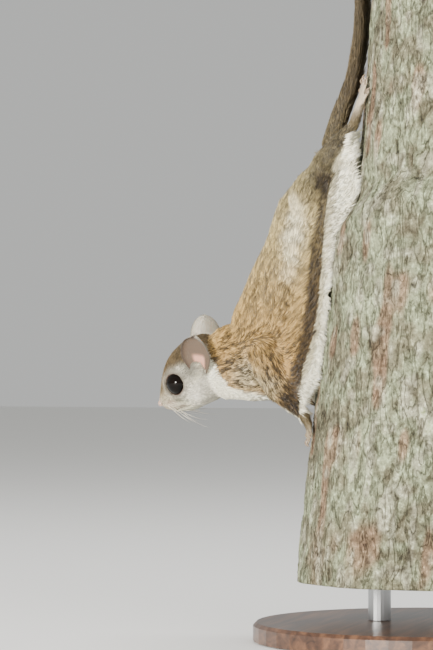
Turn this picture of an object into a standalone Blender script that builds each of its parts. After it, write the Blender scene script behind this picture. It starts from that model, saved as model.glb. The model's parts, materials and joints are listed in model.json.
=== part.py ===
"""Flying squirrel clinging head down to a cut length of trunk on a plain display stand.

Sizes are in millimetres and MM turns them into the scene's metres. The animal's midline is the
plane Y = 0, its left side faces -Y, its back faces -X and the trunk stands on the +X side.
"""
import math

import bmesh
import bpy
import numpy as np

MM = 0.001
GAP = 0.3          # clearance kept between neighbouring pieces
SLIVER = 0.01      # edges shorter than this are closed up after a cut
LEFT, RIGHT = -1.0, 1.0

# Display stand
BASE_RADIUS = 76.0
BASE_HEIGHT = 8.0
BASE_BEVEL = 1.5
BASE_CENTRE_X = 46.0
ROD_RADIUS = 5.0
ROD_SPREAD = 26.0
LOG_BOTTOM = 26.0

# Cut length of trunk: it leans over the animal's tail and swells below the hips
LOG_TOP = 323.0
LOG_AXIS_X = 72.4      # axis at the height LOG_AXIS_Z
LOG_AXIS_Z = 278.5
LOG_LEAN = 0.0874
LOG_RADIUS_TOP = 50.0
LOG_RADIUS_STEP = 58.5
LOG_RADIUS_FOOT = 62.0
LOG_STEP_Z = (167.0, 185.0)
LOG_STEP_WAVE = (14.0, 9.0)    # the step rises and falls round the trunk
LOG_STEP_TURN = math.radians(196.0)
BARK_DEPTH = 1.5
BARK_PLATES = 11
LOG_SIDES = 40
LOG_ROWS = 26

# Torso stations from the neck to the tail root: x, z, to the back, to the belly, half width
TORSO = [
    (-54.0, 115.5, 14.5, 14.5, 13.0),
    (-45.0, 118.7, 17.0, 17.0, 15.0),
    (-31.6, 123.8, 18.5, 23.0, 17.5),
    (-23.5, 139.0, 18.0, 18.0, 18.5),
    (-18.5, 156.0, 15.5, 15.5, 18.0),
    (-14.0, 169.0, 13.7, 13.7, 17.0),
    (-8.5, 182.3, 14.7, 14.0, 16.0),
    (-4.0, 191.9, 12.8, 12.8, 15.0),
    (0.0, 201.5, 10.0, 10.0, 11.0),
    (1.2, 212.6, 5.0, 4.6, 6.5),
]
TORSO_STEPS = 3        # rings for each station, the same for every piece
NECK_SPAN = (1 / 3, 5 / 3)
CHEST_SPAN = (5 / 3, 14 / 3)
ABDOMEN_SPAN = (14 / 3, 9.0)
TORSO_SIDES = 20
TORSO_TURN = 0.7       # stations over which the rings turn along a bend

# Head: stations run back from the nose tip along the muzzle's axis
NOSE_TIP = np.array([-76.2, 0.0, 101.6])
HEAD_PITCH = 36.4      # degrees that the nose points below level
HEAD_ROLL = 10.0       # degrees that the crown tips to the left
HEAD = [  # back from the nose, crown, chin, half width
    (0.9, 1.5, -3.4, 2.4),
    (3.8, 4.4, -7.0, 4.9),
    (7.0, 7.4, -9.3, 6.4),
    (11.4, 10.8, -12.0, 8.3),
    (15.4, 13.4, -13.1, 10.2),
    (19.5, 14.9, -14.0, 12.0),
    (24.0, 15.5, -15.0, 13.0),
    (29.0, 15.2, -15.6, 13.2),
    (34.0, 13.6, -14.6, 12.4),
    (38.0, 10.5, -12.0, 10.2),
]
HEAD_BUMPS = [  # back from the nose, turn from the side, height, reach back, reach in degrees
    (4.6, -30.0, 0.9, 3.0, 26.0),      # whisker pad and upper lip
    (20.0, -30.0, 1.5, 7.5, 34.0),     # cheek
    (7.5, -90.0, 0.5, 3.6, 24.0),      # chin
    (12.0, 62.0, 0.7, 4.5, 20.0),      # brow above the eye
]
HEAD_SIDES = 24
HEAD_ROWS = 17

# Eyes: large, set on the sides of the head, with raised lids
EYE_RADIUS = 5.4
EYE_BACK, EYE_UP, EYE_OUT = 14.8, 2.0, 6.9
LID_OPENING = 4.9
LID_THICKNESS = 1.0
LID_RISE = 2.4         # from the eye's centre out to the lids' ring

MOUTH_DEPTH = 0.5
NOSE_SIZES = (2.0, 2.4, 1.8)

# Ears: base and tip as back from the nose, up and out from the midline
EAR_BASE = (28.4, 2.2, 12.4)
EAR_TIP_LEFT = (36.6, 14.4, 16.8)
EAR_TIP_RIGHT = (38.0, 18.6, 13.6)
EAR_HALF_WIDTH = 7.2
EAR_ROOT = 3.0         # how far it starts inside the head
EAR_CUP = 3.4
EAR_THICKNESS = 1.0

# Limbs on the left side: x, y, z, half across, half through
UPPER_ARM = [(-26.5, -11.5, 126.0, 8.6, 8.6), (-22.5, -14.5, 118.5, 7.6, 7.6),
             (-18.0, -18.0, 110.5, 5.8, 5.8)]
FOREARM = [(-18.0, -18.0, 110.5, 6.0, 5.6), (-12.2, -20.3, 104.4, 4.8, 4.5),
           (-6.3, -21.3, 98.6, 2.9, 2.6)]
THIGH = [(-6.0, -10.0, 189.0, 9.5, 9.5), (-2.5, -16.0, 195.0, 8.6, 8.2), (3.5, -21.5, 203.0, 6.0, 5.6)]
SHIN = [(3.5, -21.5, 203.0, 6.2, 5.8), (8.6, -20.6, 211.0, 5.5, 5.1), (15.6, -20.2, 219.5, 3.7, 3.4)]
LIMB_SIDES = 12

# Feet on the left side: y and z of each toe's knuckle and tip, on the bark
FOREFOOT_PALM_Z = 93.6
FOREFOOT_TOES = [(-23.8, 94.2, -27.4, 89.6), (-22.3, 93.6, -23.8, 86.4),
                 (-20.3, 93.6, -19.6, 86.2), (-18.6, 94.2, -15.6, 89.2)]
HIND_BALL_Z = 233.0
HIND_TOES = [(-23.8, 231.5, -27.6, 236.2), (-22.6, 234.0, -24.6, 240.6), (-20.8, 234.6, -21.2, 242.0),
             (-18.8, 234.2, -17.6, 241.0), (-17.2, 232.0, -14.4, 237.2)]
TOE_RADIUS = 1.15
CLAW_LENGTH = 2.3
CLAW_RADIUS = 0.55
FORE_SHIFT_RIGHT = 2.5     # the right forefoot holds a little higher
HIND_SHIFT_RIGHT = -3.0    # the right hind foot holds a little lower

# Gliding membrane on the left side: where it leaves the flank, and its free edge
MEMBRANE_ROOT = [(-20.0, -15.0, 113.0), (-17.5, -13.5, 128.0), (-13.0, -13.0, 144.0),
                 (-8.5, -12.5, 160.0), (-4.0, -12.5, 174.0), (-0.5, -11.0, 186.0), (3.0, -12.0, 196.0)]
MEMBRANE_EDGE = [(-6.4, -21.4, 99.4), (-4.4, -25.2, 114.0), (1.6, -27.2, 132.0),
                 (4.4, -27.6, 152.0), (5.6, -26.8, 171.0), (7.4, -25.0, 193.0), (13.6, -21.4, 216.0)]
MEMBRANE_ROOT_THICKNESS = 6.0
MEMBRANE_EDGE_THICKNESS = 2.4
MEMBRANE_BULGE = 2.0
MEMBRANE_DEPTH = [-4.0, 8.0, 9.0, 8.0, 11.0, 13.5, 3.0]   # of the white underside, towards the trunk
MEMBRANE_CLEARANCE = 1.0
MEMBRANE_ROWS = 13
MEMBRANE_COLUMNS = 5

# Tail stations: x, z, half thickness, half width
TAIL = [  # x, z, half thickness, half width
    (1.8, 213.2, 4.6, 6.6),
    (7.2, 228.5, 5.2, 7.4),
    (12.0, 240.8, 4.6, 9.0),
    (15.2, 254.8, 3.7, 11.2),
    (16.6, 266.0, 3.4, 12.4),
    (17.3, 278.5, 3.3, 12.8),
    (18.4, 292.0, 3.0, 12.4),
    (19.7, 305.0, 2.4, 9.0),
    (20.6, 313.0, 1.2, 3.4),
]
TAIL_SPANS = {"tail_base": (0.0, 2.7), "tail_middle": (2.7, 5.3), "tail_tip": (5.3, 8.6)}
TAIL_SIDES = 10
TAIL_CORE = 0.5            # the core's share of the coat's half width
SIDE_LOCK_STATIONS = (1.0, 7.2, 12)
BACK_LOCK_STATIONS = (0.8, 6.8, 8)
LOCK_REACH = 0.85          # stations from a lock's root to its tip
LOCK_HALF_WIDTH = 3.1
LOCK_HALF_THICKNESS = 1.25
LOCK_SIDES = 4
SLAB_REACH = 40.0

COLOURS = {
    "coat_brown": ("A8895E", 0.9),
    "coat_white": ("E9E6D6", 0.9),
    "tail_coat": ("6F6450", 0.9),
    "bare_skin": ("D9B5A2", 0.6),
    "eye_black": ("0B0908", 0.05),
    "bark": ("8F8B76", 0.95),
    "stand_wood": ("3B2A20", 0.4),
    "stand_steel": ("8A8C8E", 0.35),
}


# Small helpers

def unit(vector):
    return np.asarray(vector, float) / np.linalg.norm(vector)


def spline(knots, t):
    """Point at t of the smooth curve through the knots, one knot at each whole t."""
    rows = np.asarray(knots, float)
    i = int(min(max(t, 0.0), len(rows) - 1.001))
    f = t - i
    b, c = rows[i], rows[i + 1]
    a = rows[i - 1] if i > 0 else 2 * b - c
    d = rows[i + 2] if i + 2 < len(rows) else 2 * c - b
    return 0.5 * (2 * b + (c - a) * f + (2 * a - 5 * b + 4 * c - d) * f ** 2
                  + (3 * b - a - 3 * c + d) * f ** 3)


def smooth(low, high, value):
    f = min(max((value - low) / (high - low), 0.0), 1.0)
    return f * f * (3 - 2 * f)


def mirrored(points, side):
    """The left side's points, turned to the right side where side is RIGHT."""
    out = [list(p) for p in points]
    for p in out:
        p[1] = -abs(p[1]) if side == LEFT else abs(p[1])
    return out


def material(slot):
    made = bpy.data.materials.get(slot)
    if made is None:
        made = bpy.data.materials.new(slot)
        made.use_nodes = True
        shader = made.node_tree.nodes["Principled BSDF"]
        code, roughness = COLOURS[slot]
        rgb = [(int(code[i:i + 2], 16) / 255) ** 2.2 for i in (0, 2, 4)]
        shader.inputs["Base Color"].default_value = (*rgb, 1.0)
        shader.inputs["Roughness"].default_value = roughness
        shader.inputs["Metallic"].default_value = 1.0 if slot == "stand_steel" else 0.0
    return made


def solid(name, points, faces, slot="coat_brown"):
    """A closed mesh object from points in millimetres, with its faces turned outwards."""
    points = np.asarray(points, float)
    volume = sum(np.dot(points[f[0]], np.cross(points[f[1]], points[f[2]])) for f in faces)
    if volume < 0:
        faces = [tuple(reversed(f)) for f in faces]
    mesh = bpy.data.meshes.new(name)
    mesh.from_pydata((points * MM).tolist(), [], faces)
    mesh.materials.append(material(slot))
    made = bpy.data.objects.new(name, mesh)
    bpy.context.scene.collection.objects.link(made)
    return made


def rows_to_solid(name, rows, slot="coat_brown", start=None, end=None):
    """Join rings of equal length with triangles and close both ends with a point each."""
    count = len(rows[0])
    points = [p for row in rows for p in row]
    points.append(np.mean(rows[0], axis=0) if start is None else start)
    points.append(np.mean(rows[-1], axis=0) if end is None else end)
    first, last = len(points) - 2, len(points) - 1
    faces = []
    for i in range(len(rows) - 1):
        for j in range(count):
            a, b = i * count + j, i * count + (j + 1) % count
            faces.append((a, b, b + count))
            faces.append((a, b + count, a + count))
    tail = (len(rows) - 1) * count
    for j in range(count):
        faces.append((first, (j + 1) % count, j))
        faces.append((last, tail + j, tail + (j + 1) % count))
    return solid(name, points, faces, slot)


def sheet(name, upper, lower, slot):
    """A closed sheet between two grids of points, with triangles alike on both faces."""
    rows, columns = len(upper), len(upper[0])
    points = [p for row in upper for p in row] + [p for row in lower for p in row]
    under = rows * columns
    faces = []
    for i in range(rows - 1):
        for j in range(columns - 1):
            a, b = i * columns + j, i * columns + j + 1
            c, d = b + columns, a + columns
            faces += [(a, b, c), (a, c, d), (under + a, under + c, under + b),
                      (under + a, under + d, under + c)]
    rim = [j for j in range(columns)]
    rim += [i * columns + columns - 1 for i in range(1, rows)]
    rim += [(rows - 1) * columns + j for j in range(columns - 2, -1, -1)]
    rim += [i * columns for i in range(rows - 2, 0, -1)]
    for a, b in zip(rim, rim[1:] + rim[:1]):
        faces += [(b, a, under + a), (b, under + a, under + b)]
    return solid(name, points, faces, slot)


def ellipsoid(name, centre, axes, sizes, sides=12, rings=7):
    """An ellipsoid round a centre, with its half sizes along three axes."""
    a, b, c = (np.asarray(v, float) for v in axes)
    rows = []
    for i in range(1, rings):
        polar = math.pi * i / rings
        rows.append([centre + a * sizes[0] * math.cos(polar)
                     + math.sin(polar) * (b * sizes[1] * math.cos(t) + c * sizes[2] * math.sin(t))
                     for t in np.linspace(0, 2 * math.pi, sides, endpoint=False)])
    return rows_to_solid(name, rows, start=centre + a * sizes[0], end=centre - a * sizes[0])


def torus(name, centre, axis, major, minor, sides=14, rings=6):
    """A ring of round section about an axis."""
    axis = unit(axis)
    across = unit(np.cross(axis, (0.3, 0.2, 1.0)))
    up = np.cross(axis, across)
    points, faces = [], []
    for i in range(sides):
        turn = 2 * math.pi * i / sides
        out = across * math.cos(turn) + up * math.sin(turn)
        for j in range(rings):
            roll = 2 * math.pi * j / rings
            points.append(centre + out * (major + minor * math.cos(roll)) + axis * minor * math.sin(roll))
            a, b = i * rings + j, i * rings + (j + 1) % rings
            c, d = ((i + 1) % sides) * rings + (j + 1) % rings, ((i + 1) % sides) * rings + j
            faces += [(a, b, c), (a, c, d)]
    return solid(name, points, faces)


def is_closed(shape):
    return all(len(edge.link_faces) == 2 for edge in shape.edges)


def without_slivers(shape):
    """A copy of a closed shape without needle-thin faces, where it stays closed."""
    cleaned = shape.copy()
    bmesh.ops.dissolve_degenerate(cleaned, edges=cleaned.edges, dist=SLIVER * MM)
    bmesh.ops.triangulate(cleaned, faces=cleaned.faces)
    if is_closed(cleaned):
        return cleaned
    cleaned.free()
    return shape


def largest_body(made):
    """Keep only the largest closed surface of an object."""
    shape = bmesh.new()
    shape.from_mesh(made.data)
    bmesh.ops.triangulate(shape, faces=shape.faces)
    seen, best = set(), []
    for vert in shape.verts:
        if vert in seen:
            continue
        island, queue = [], [vert]
        seen.add(vert)
        while queue:
            here = queue.pop()
            island.append(here)
            for edge in here.link_edges:
                other = edge.other_vert(here)
                if other not in seen:
                    seen.add(other)
                    queue.append(other)
        if len(island) > len(best):
            best = island
    keep = set(best)
    bmesh.ops.delete(shape, geom=[v for v in shape.verts if v not in keep], context="VERTS")
    shape = without_slivers(shape)
    shape.to_mesh(made.data)
    shape.free()


def combine(target, others, operation, solver="EXACT"):
    """Apply one Boolean of a collection of closed meshes to the target, then remove them."""
    group = bpy.data.collections.new("operands")
    for piece in others:
        group.objects.link(piece)
    step = target.modifiers.new("combine", "BOOLEAN")
    step.operation = operation
    step.operand_type = "COLLECTION"
    step.collection = group
    step.solver = solver
    slots = list(target.data.materials)
    graph = bpy.context.evaluated_depsgraph_get()
    mesh = bpy.data.meshes.new_from_object(target.evaluated_get(graph))
    target.modifiers.clear()
    target.data = mesh
    mesh.materials.clear()
    mesh.materials.append(slots[0])
    for polygon in mesh.polygons:
        polygon.material_index = 0
    for piece in list(group.objects):
        bpy.data.objects.remove(piece)
    bpy.data.collections.remove(group)
    largest_body(target)
    return target


def shade(made, angle=40.0):
    made.data.shade_smooth()
    made.data.set_sharp_from_angle(angle=math.radians(angle))
    return made


# Lofts along a path

def section(centre, along, across, sizes, sides):
    """A ring round a centre: sizes are half across, up and down, along the third axis."""
    along = unit(along)
    across = unit(np.asarray(across, float) - np.dot(across, along) * along)
    up = np.cross(along, across)
    ring = []
    for turn in np.linspace(0, 2 * math.pi, sides, endpoint=False):
        rise = sizes[1] if math.sin(turn) > 0 else sizes[2]
        ring.append(centre + across * sizes[0] * math.cos(turn) + up * rise * math.sin(turn))
    return np.array(ring)


def path_frame(knots, t, step):
    """Centre, direction and sizes at t along knots of x, y, z and sizes."""
    here = spline(knots, t)
    ahead = spline(knots, min(t + step, len(knots) - 1))
    behind = spline(knots, max(t - step, 0))
    return here[:3], unit(ahead[:3] - behind[:3]), here[3:]


def loft(name, knots, across, sides, rows, span=None, flat=(False, False), grow=0.0, slot="coat_brown",
         trim=(0.0, 0.0), turn_step=0.02):
    """A closed body along a path of knots, each x, y, z, half across, up and down.

    A flat end is planar and moved in by its trim, and any other end is a blunt dome. The
    direction of each ring is taken over turn_step knots each way.
    """
    t0, t1 = span or (0.0, len(knots) - 1.0)
    rings = []
    for t in np.linspace(t0, t1, rows):
        centre, along, sizes = path_frame(knots, t, turn_step)
        rings.append([centre, along, sizes + grow])
    start = end = None
    for index, sign in ((0, -1.0), (-1, 1.0)):
        centre, along, sizes = rings[index]
        if flat[index]:
            rings[index][0] = centre - sign * along * (trim[index] - grow)
            continue
        reach = 0.75 * float(np.mean(sizes))
        dome = [[centre + sign * along * reach * math.sin(a), along, sizes * math.cos(a)]
                for a in (math.radians(35), math.radians(65))]
        if index == 0:
            rings = dome[::-1] + rings
            start = centre + sign * along * reach
        else:
            rings = rings + dome
            end = centre + sign * along * reach
    table = [section(c, a, across, s, sides) for c, a, s in rings]
    return rows_to_solid(name, table, slot, start, end)


# Trunk

def log_axis(z):
    return LOG_AXIS_X - LOG_LEAN * (LOG_AXIS_Z - z)


def log_radius(turn, z):
    """Radius before the bark's furrows: a swollen foot under a slanting step."""
    around = turn - LOG_STEP_TURN
    shift = LOG_STEP_WAVE[0] * math.sin(around) + LOG_STEP_WAVE[1] * math.sin(2 * around)
    low, high = LOG_STEP_Z[0] + shift, LOG_STEP_Z[1] + shift
    swell = LOG_RADIUS_FOOT + (LOG_RADIUS_STEP - LOG_RADIUS_FOOT) * (z - LOG_BOTTOM) / (low - LOG_BOTTOM)
    return swell + (LOG_RADIUS_TOP - swell) * smooth(low, high, z)


def bark_relief(turn, z):
    """Depth of the bark's furrows below the trunk's radius, for a turn about its axis."""
    drift = 0.5 * math.sin(z * 0.031 + 1.3) + 0.35 * math.sin(z * 0.083)
    ridge = math.sin(BARK_PLATES * turn + drift * 2.4)
    cross = math.sin(z * 0.19 + 3.1 * math.sin(5 * turn + 0.4))
    knot = math.sin(7 * turn - z * 0.057 + 2.0)
    return BARK_DEPTH * (0.34 + 0.30 * ridge + 0.22 * cross * abs(ridge) + 0.12 * knot)


def log_face_x(y, z):
    """X of the trunk's face towards the animal, at its full radius."""
    reach = LOG_RADIUS_TOP
    for _ in range(6):
        reach = math.sqrt(log_radius(math.atan2(y, -reach) % (2 * math.pi), z) ** 2 - y * y)
    return log_axis(z) - reach


def trunk(name, grow=0.0):
    rings = []
    for z in np.linspace(LOG_BOTTOM - grow, LOG_TOP + grow, LOG_ROWS):
        ring = []
        for turn in np.linspace(0, 2 * math.pi, LOG_SIDES, endpoint=False):
            radius = log_radius(turn, z) - bark_relief(turn, z) + grow
            ring.append((log_axis(z) + radius * math.cos(turn), radius * math.sin(turn), z))
        rings.append(np.array(ring))
    return rows_to_solid(name, rings, "bark")


# Torso and tail

def torso_knots():
    return [(x, 0.0, z, width, back, belly) for x, z, back, belly, width in TORSO]


def torso_piece(name, span, flat, trim=(0.0, 0.0), grow=0.0, slot="coat_brown"):
    rows = int(round(TORSO_STEPS * (span[1] - span[0]))) + 1
    return loft(name, torso_knots(), (0, 1, 0), TORSO_SIDES, rows, span, flat, grow, slot, trim,
                TORSO_TURN)


def whole_torso(grow):
    return torso_piece("torso_cutter", (NECK_SPAN[0], ABDOMEN_SPAN[1]), (True, True), grow=grow)


def tail_knots():
    return [(x, 0.0, z, width, depth, depth) for x, z, depth, width in TAIL]


def tail_place(t, share, lift=0.0):
    """Point on the tail's flat: a share of the coat's half width out, lifted off the bark."""
    centre, along, sizes = path_frame(tail_knots(), min(t, len(TAIL) - 1.0), 0.1)
    past = max(t - (len(TAIL) - 1.0), 0.0) * 9.0
    out = np.cross(along, (0.0, 1.0, 0.0))
    return centre + along * past + np.array([0.0, sizes[0] * share, 0.0]) + out * lift


def lock(t, side, spread, lift, reach):
    """A flat tapered lock from inside the tail's core out along the lie of the brush."""
    knots = []
    for f, width, depth in ((0.0, 0.8, 0.9), (0.6, 1.15, 0.8), (1.0, 0.4, 0.3)):
        share = side * (spread[0] + (spread[1] - spread[0]) * f ** 0.8)
        point = tail_place(t + reach * f, share, lift * (1 - 0.4 * f))
        half, thick = LOCK_HALF_WIDTH * width, LOCK_HALF_THICKNESS * depth
        knots.append((*point, half, thick, thick))
    return loft("lock", knots, (0, 1, 0), LOCK_SIDES, 3, flat=(True, True), slot="tail_coat")


def tail_brush():
    """The whole tail: a flat core with locks laid over one another to both sides and the tip."""
    core = [(x, y, z, width * TAIL_CORE + 0.8, up * 0.8, down * 0.8) for x, y, z, width, up, down in
            tail_knots()]
    made = loft("tail", core, (0, 1, 0), TAIL_SIDES, 12, None, (True, False), 0.0, "tail_coat")
    locks = []
    for i, t in enumerate(np.linspace(*SIDE_LOCK_STATIONS)):
        for side in (LEFT, RIGHT):
            tip = 0.97 + 0.06 * math.sin(2.3 * i + side)
            locks.append(lock(t, side, (0.22, tip), 0.25 * side, LOCK_REACH))
    for i, t in enumerate(np.linspace(*BACK_LOCK_STATIONS)):
        side = LEFT if i % 2 else RIGHT
        locks.append(lock(t, side, (0.06, 0.5), 1.9, LOCK_REACH * 1.1))
    for side in (LEFT, RIGHT):
        locks.append(lock(7.2, side, (0.2, 0.35), 0.0, 1.2))
    return combine(made, locks, "UNION")


def tail_slab(span):
    """A block that holds one length of the tail, between planes square to its path."""
    rings = []
    for t, move in zip(span, (GAP if span[0] else -SLAB_REACH, 0.0)):
        centre, along, _ = path_frame(tail_knots(), min(t, len(TAIL) - 1.0), 0.1)
        move = SLAB_REACH if t > len(TAIL) - 1 else move
        rings.append(section(centre + along * move, along, (0, 1, 0), (SLAB_REACH,) * 3, 4))
    return rows_to_solid("slab", rings)


def tail():
    """The brush parted into lengths with thin flat cuts."""
    brush = tail_brush()
    for name, span in TAIL_SPANS.items():
        length = bpy.data.objects.new(name, brush.data.copy())
        bpy.context.scene.collection.objects.link(length)
        combine(length, [tail_slab(span)], "INTERSECT")
        shade(length)
    bpy.data.objects.remove(brush)


def neck_loft(name, grow=0.0):
    return torso_piece(name, NECK_SPAN, (True, True), grow=grow)


def neck():
    made = neck_loft("neck")
    return shade(combine(made, [head_loft("head_cutter", GAP)], "DIFFERENCE"))


# Head

def head_axes():
    """Forward, left and up of the head, with its pitch and roll."""
    pitch, roll = math.radians(HEAD_PITCH), math.radians(HEAD_ROLL)
    forward = np.array([-math.cos(pitch), 0.0, -math.sin(pitch)])
    up = np.array([-math.sin(pitch), 0.0, math.cos(pitch)])
    left = np.array([0.0, -1.0, 0.0])
    return (forward, left * math.cos(roll) - up * math.sin(roll),
            up * math.cos(roll) + left * math.sin(roll))


FORWARD, LEFTWARD, UPWARD = HEAD_FRAME = head_axes()


def head_place(back, up, out, side=LEFT):
    """World point from the head's own sizes: back from the nose, up, and out to a side."""
    return NOSE_TIP - FORWARD * back + UPWARD * up - LEFTWARD * out * side


def head_bump(back, turn):
    """Height of the soft swellings at a place on the head, alike on both sides."""
    lean = math.degrees(math.asin(math.sin(math.radians(turn))))
    return sum(height * math.exp(-((back - at) / reach) ** 2 - ((lean - aim) / spread) ** 2)
               for at, aim, height, reach, spread in HEAD_BUMPS)


def head_surface(station, turn, grow=0.0):
    """Point of the head's skin at a station number and a turn, 0 left and 90 the crown."""
    back, crown, chin, width = spline(HEAD, station)
    swell = grow + head_bump(back, turn)
    middle, rise = (crown + chin) / 2, (crown - chin) / 2 + swell
    angle = math.radians(turn)
    return (NOSE_TIP - FORWARD * back + UPWARD * (middle + rise * math.sin(angle))
            + LEFTWARD * (width + swell) * math.cos(angle))


def head_loft(name, grow=0.0):
    last = len(HEAD) - 1.0
    turns = np.linspace(0, 360, HEAD_SIDES, endpoint=False)
    rings = [np.array([head_surface(s, turn, grow) for turn in turns])
             for s in np.linspace(0.0, last, HEAD_ROWS)]
    middle_back = np.mean(rings[-1], axis=0)
    for shrink, reach in ((0.8, 2.2), (0.45, 3.8)):
        rings.append(middle_back + (rings[HEAD_ROWS - 1] - middle_back) * shrink - FORWARD * (reach + grow))
    nose = np.mean(rings[0], axis=0) + FORWARD * (0.8 + grow)
    back = middle_back - FORWARD * (4.6 + grow)
    return rows_to_solid(name, rings, "coat_brown", nose, back)


def eye_centre(side):
    return head_place(EYE_BACK, EYE_UP, EYE_OUT, side)


def eye_axis(side):
    return unit(FORWARD * 0.42 - LEFTWARD * side * 0.88 + UPWARD * 0.20)


def mouth_groove(name):
    """A thin round strip along the mouth, to be cut into the muzzle from corner to corner."""
    half = [(3.3, -46.0), (2.5, -50.0), (1.7, -55.0), (0.9, -63.0), (0.45, -76.0)]
    left = [head_surface(s, turn) for s, turn in half]
    right = [head_surface(s, 180.0 - turn) for s, turn in reversed(half)]
    knots = [(*p, *(MOUTH_DEPTH,) * 3) for p in left + [head_surface(0.35, -90.0)] + right]
    return loft(name, knots, UPWARD, 5, 13, flat=(True, True))


def head_solid():
    made = head_loft("head")
    lids = []
    for side in (LEFT, RIGHT):
        axis = eye_axis(side)
        ring = eye_centre(side) + axis * LID_RISE
        lids.append(torus("lid", ring, axis, LID_OPENING + 0.75 * LID_THICKNESS, LID_THICKNESS))
    combine(made, lids, "UNION")
    cutters = [mouth_groove("groove")]
    for side in (LEFT, RIGHT):
        cutters.append(ellipsoid("socket", eye_centre(side), HEAD_FRAME, (EYE_RADIUS + GAP,) * 3, 14, 9))
    combine(made, cutters, "DIFFERENCE")
    return shade(made)


def nose_pad():
    centre = NOSE_TIP + UPWARD * -0.6 - FORWARD * 0.6
    made = ellipsoid("nose_pad", centre, HEAD_FRAME, NOSE_SIZES, 12, 7)
    made.data.materials[0] = material("bare_skin")
    cutters = [head_loft("head_cutter", GAP)]
    for side in (LEFT, RIGHT):
        nostril = centre - LEFTWARD * side * 1.1 + FORWARD * 1.5 + UPWARD * 0.1
        cutters.append(ellipsoid("nostril", nostril, HEAD_FRAME, (0.7, 0.55, 0.45), 7, 5))
    return shade(combine(made, cutters, "DIFFERENCE"), 60.0)


def eyeball(name, side):
    axis = eye_axis(side)
    across = unit(np.cross(axis, UPWARD))
    made = ellipsoid(name, eye_centre(side), (axis, across, np.cross(axis, across)),
                     (EYE_RADIUS,) * 3, 14, 9)
    made.data.materials[0] = material("eye_black")
    return shade(made, 60.0)


def ear(name, side, tip_place):
    """A cupped ear: a thin curved sheet from its root in the head to a rounded tip."""
    base, tip = head_place(*EAR_BASE, side), head_place(*tip_place, side)
    along = unit(tip - base)
    length = np.linalg.norm(tip - base) + EAR_ROOT
    facing = -LEFTWARD * side * 0.9 + FORWARD * 0.42
    facing = unit(facing - np.dot(facing, along) * along)
    across = np.cross(along, facing)
    upper, lower = [], []
    for u in np.sin(np.linspace(0.0, math.pi / 2, 11)):
        width = EAR_HALF_WIDTH * (0.48 + 0.52 * math.sin(math.pi * min(u / 0.55, 1.0) / 2))
        width *= math.sqrt(1 - (max(u - 0.5, 0.0) / 0.504) ** 2)
        row_up, row_low = [], []
        for v in np.linspace(-1.0, 1.0, 8):
            cup = EAR_CUP * (1 - 0.5 * u) * (1 - v * v) - 1.2 * u
            here = base + along * (u * length - EAR_ROOT) + across * v * width - facing * (cup - 1.5)
            half = EAR_THICKNESS * (0.62 - 0.22 * abs(v))
            row_up.append(here + facing * half)
            row_low.append(here - facing * half)
        upper.append(row_up)
        lower.append(row_low)
    made = sheet(name, upper, lower, "bare_skin")
    combine(made, [head_loft("head_cutter", GAP)], "DIFFERENCE")
    return shade(combine(made, [neck_loft("neck_cutter", GAP)], "DIFFERENCE"), 50.0)


# Limbs and feet

def limb_knots(knots, side, lift=0.0, ends=(0.0, 1.0)):
    """A limb's knots on its side, with its lift growing from the first knot to the last."""
    share = np.linspace(ends[0], ends[1], len(knots))
    return [(x, y, z + lift * f, a, b, b) for (x, y, z, a, b), f in zip(mirrored(knots, side), share)]


def limb(name, knots, grow=0.0, rows=6):
    return loft(name, knots, (0, 1, 0), LIMB_SIDES, rows, grow=grow)


def on_bark(y, z, height):
    return np.array([log_face_x(y, z) - height, y, z])


def toe(name, knuckle, tip, radius):
    """A toe that lies along the bark, from its knuckle to its tip."""
    (y0, z0), (y1, z1) = knuckle, tip
    knots = []
    for f, height, size in ((0.0, 1.9, 1.15), (0.5, 1.7, 1.0), (1.0, 1.05, 0.85)):
        point = on_bark(y0 + (y1 - y0) * f, z0 + (z1 - z0) * f, height)
        knots.append((*point, radius * size, radius * size, radius * size))
    return loft(name, knots, (0, 1, 0), 6, 3, flat=(True, False))


def claw(name, knuckle, tip):
    """A curved claw that leaves the toe's tip and hooks down to the bark."""
    heading = unit(np.array([tip[0] - knuckle[0], tip[1] - knuckle[1]]))
    knots = []
    for f, height, size in ((-0.35, 1.3, 1.0), (0.15, 2.0, 0.95), (0.6, 1.75, 0.7), (1.0, 0.75, 0.3)):
        y, z = np.array(tip) + heading * f * CLAW_LENGTH
        r = CLAW_RADIUS * size
        knots.append((*on_bark(y, z, height), r, r, r))
    return loft(name, knots, (0, 1, 0), 5, 4, flat=(True, True))


def foot(name, ankle, ball, toes, side, lift, sole):
    """A foot from the ankle to its ball on the bark, with toes and claws fused to it."""
    width, depth = sole
    y_ball, z_ball = ball[0] * -side, ball[1] + lift
    heel = np.array([ankle[0], ankle[1] * -side, ankle[2] + lift])
    middle_y, middle_z = (heel[1] + y_ball) / 2, (heel[2] + z_ball) / 2
    knots = [(*heel, 2.6, 2.4, 2.4),
             (*(0.35 * heel + 0.65 * on_bark(middle_y, middle_z, 2.4)), width * 0.9, depth * 1.1, depth * 1.1),
             (*on_bark(y_ball, z_ball, 1.7), width, depth, depth)]
    knots = [np.array(k) for k in knots]
    made = loft(name, knots, (0, 1, 0), 10, 5)
    extras = []
    for y0, z0, y1, z1 in toes:
        knuckle, tip = (y0 * -side, z0 + lift), (y1 * -side, z1 + lift)
        extras.append(toe("toe", knuckle, tip, TOE_RADIUS))
        extras.append(claw("claw", knuckle, tip))
    return combine(made, extras, "UNION")


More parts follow.
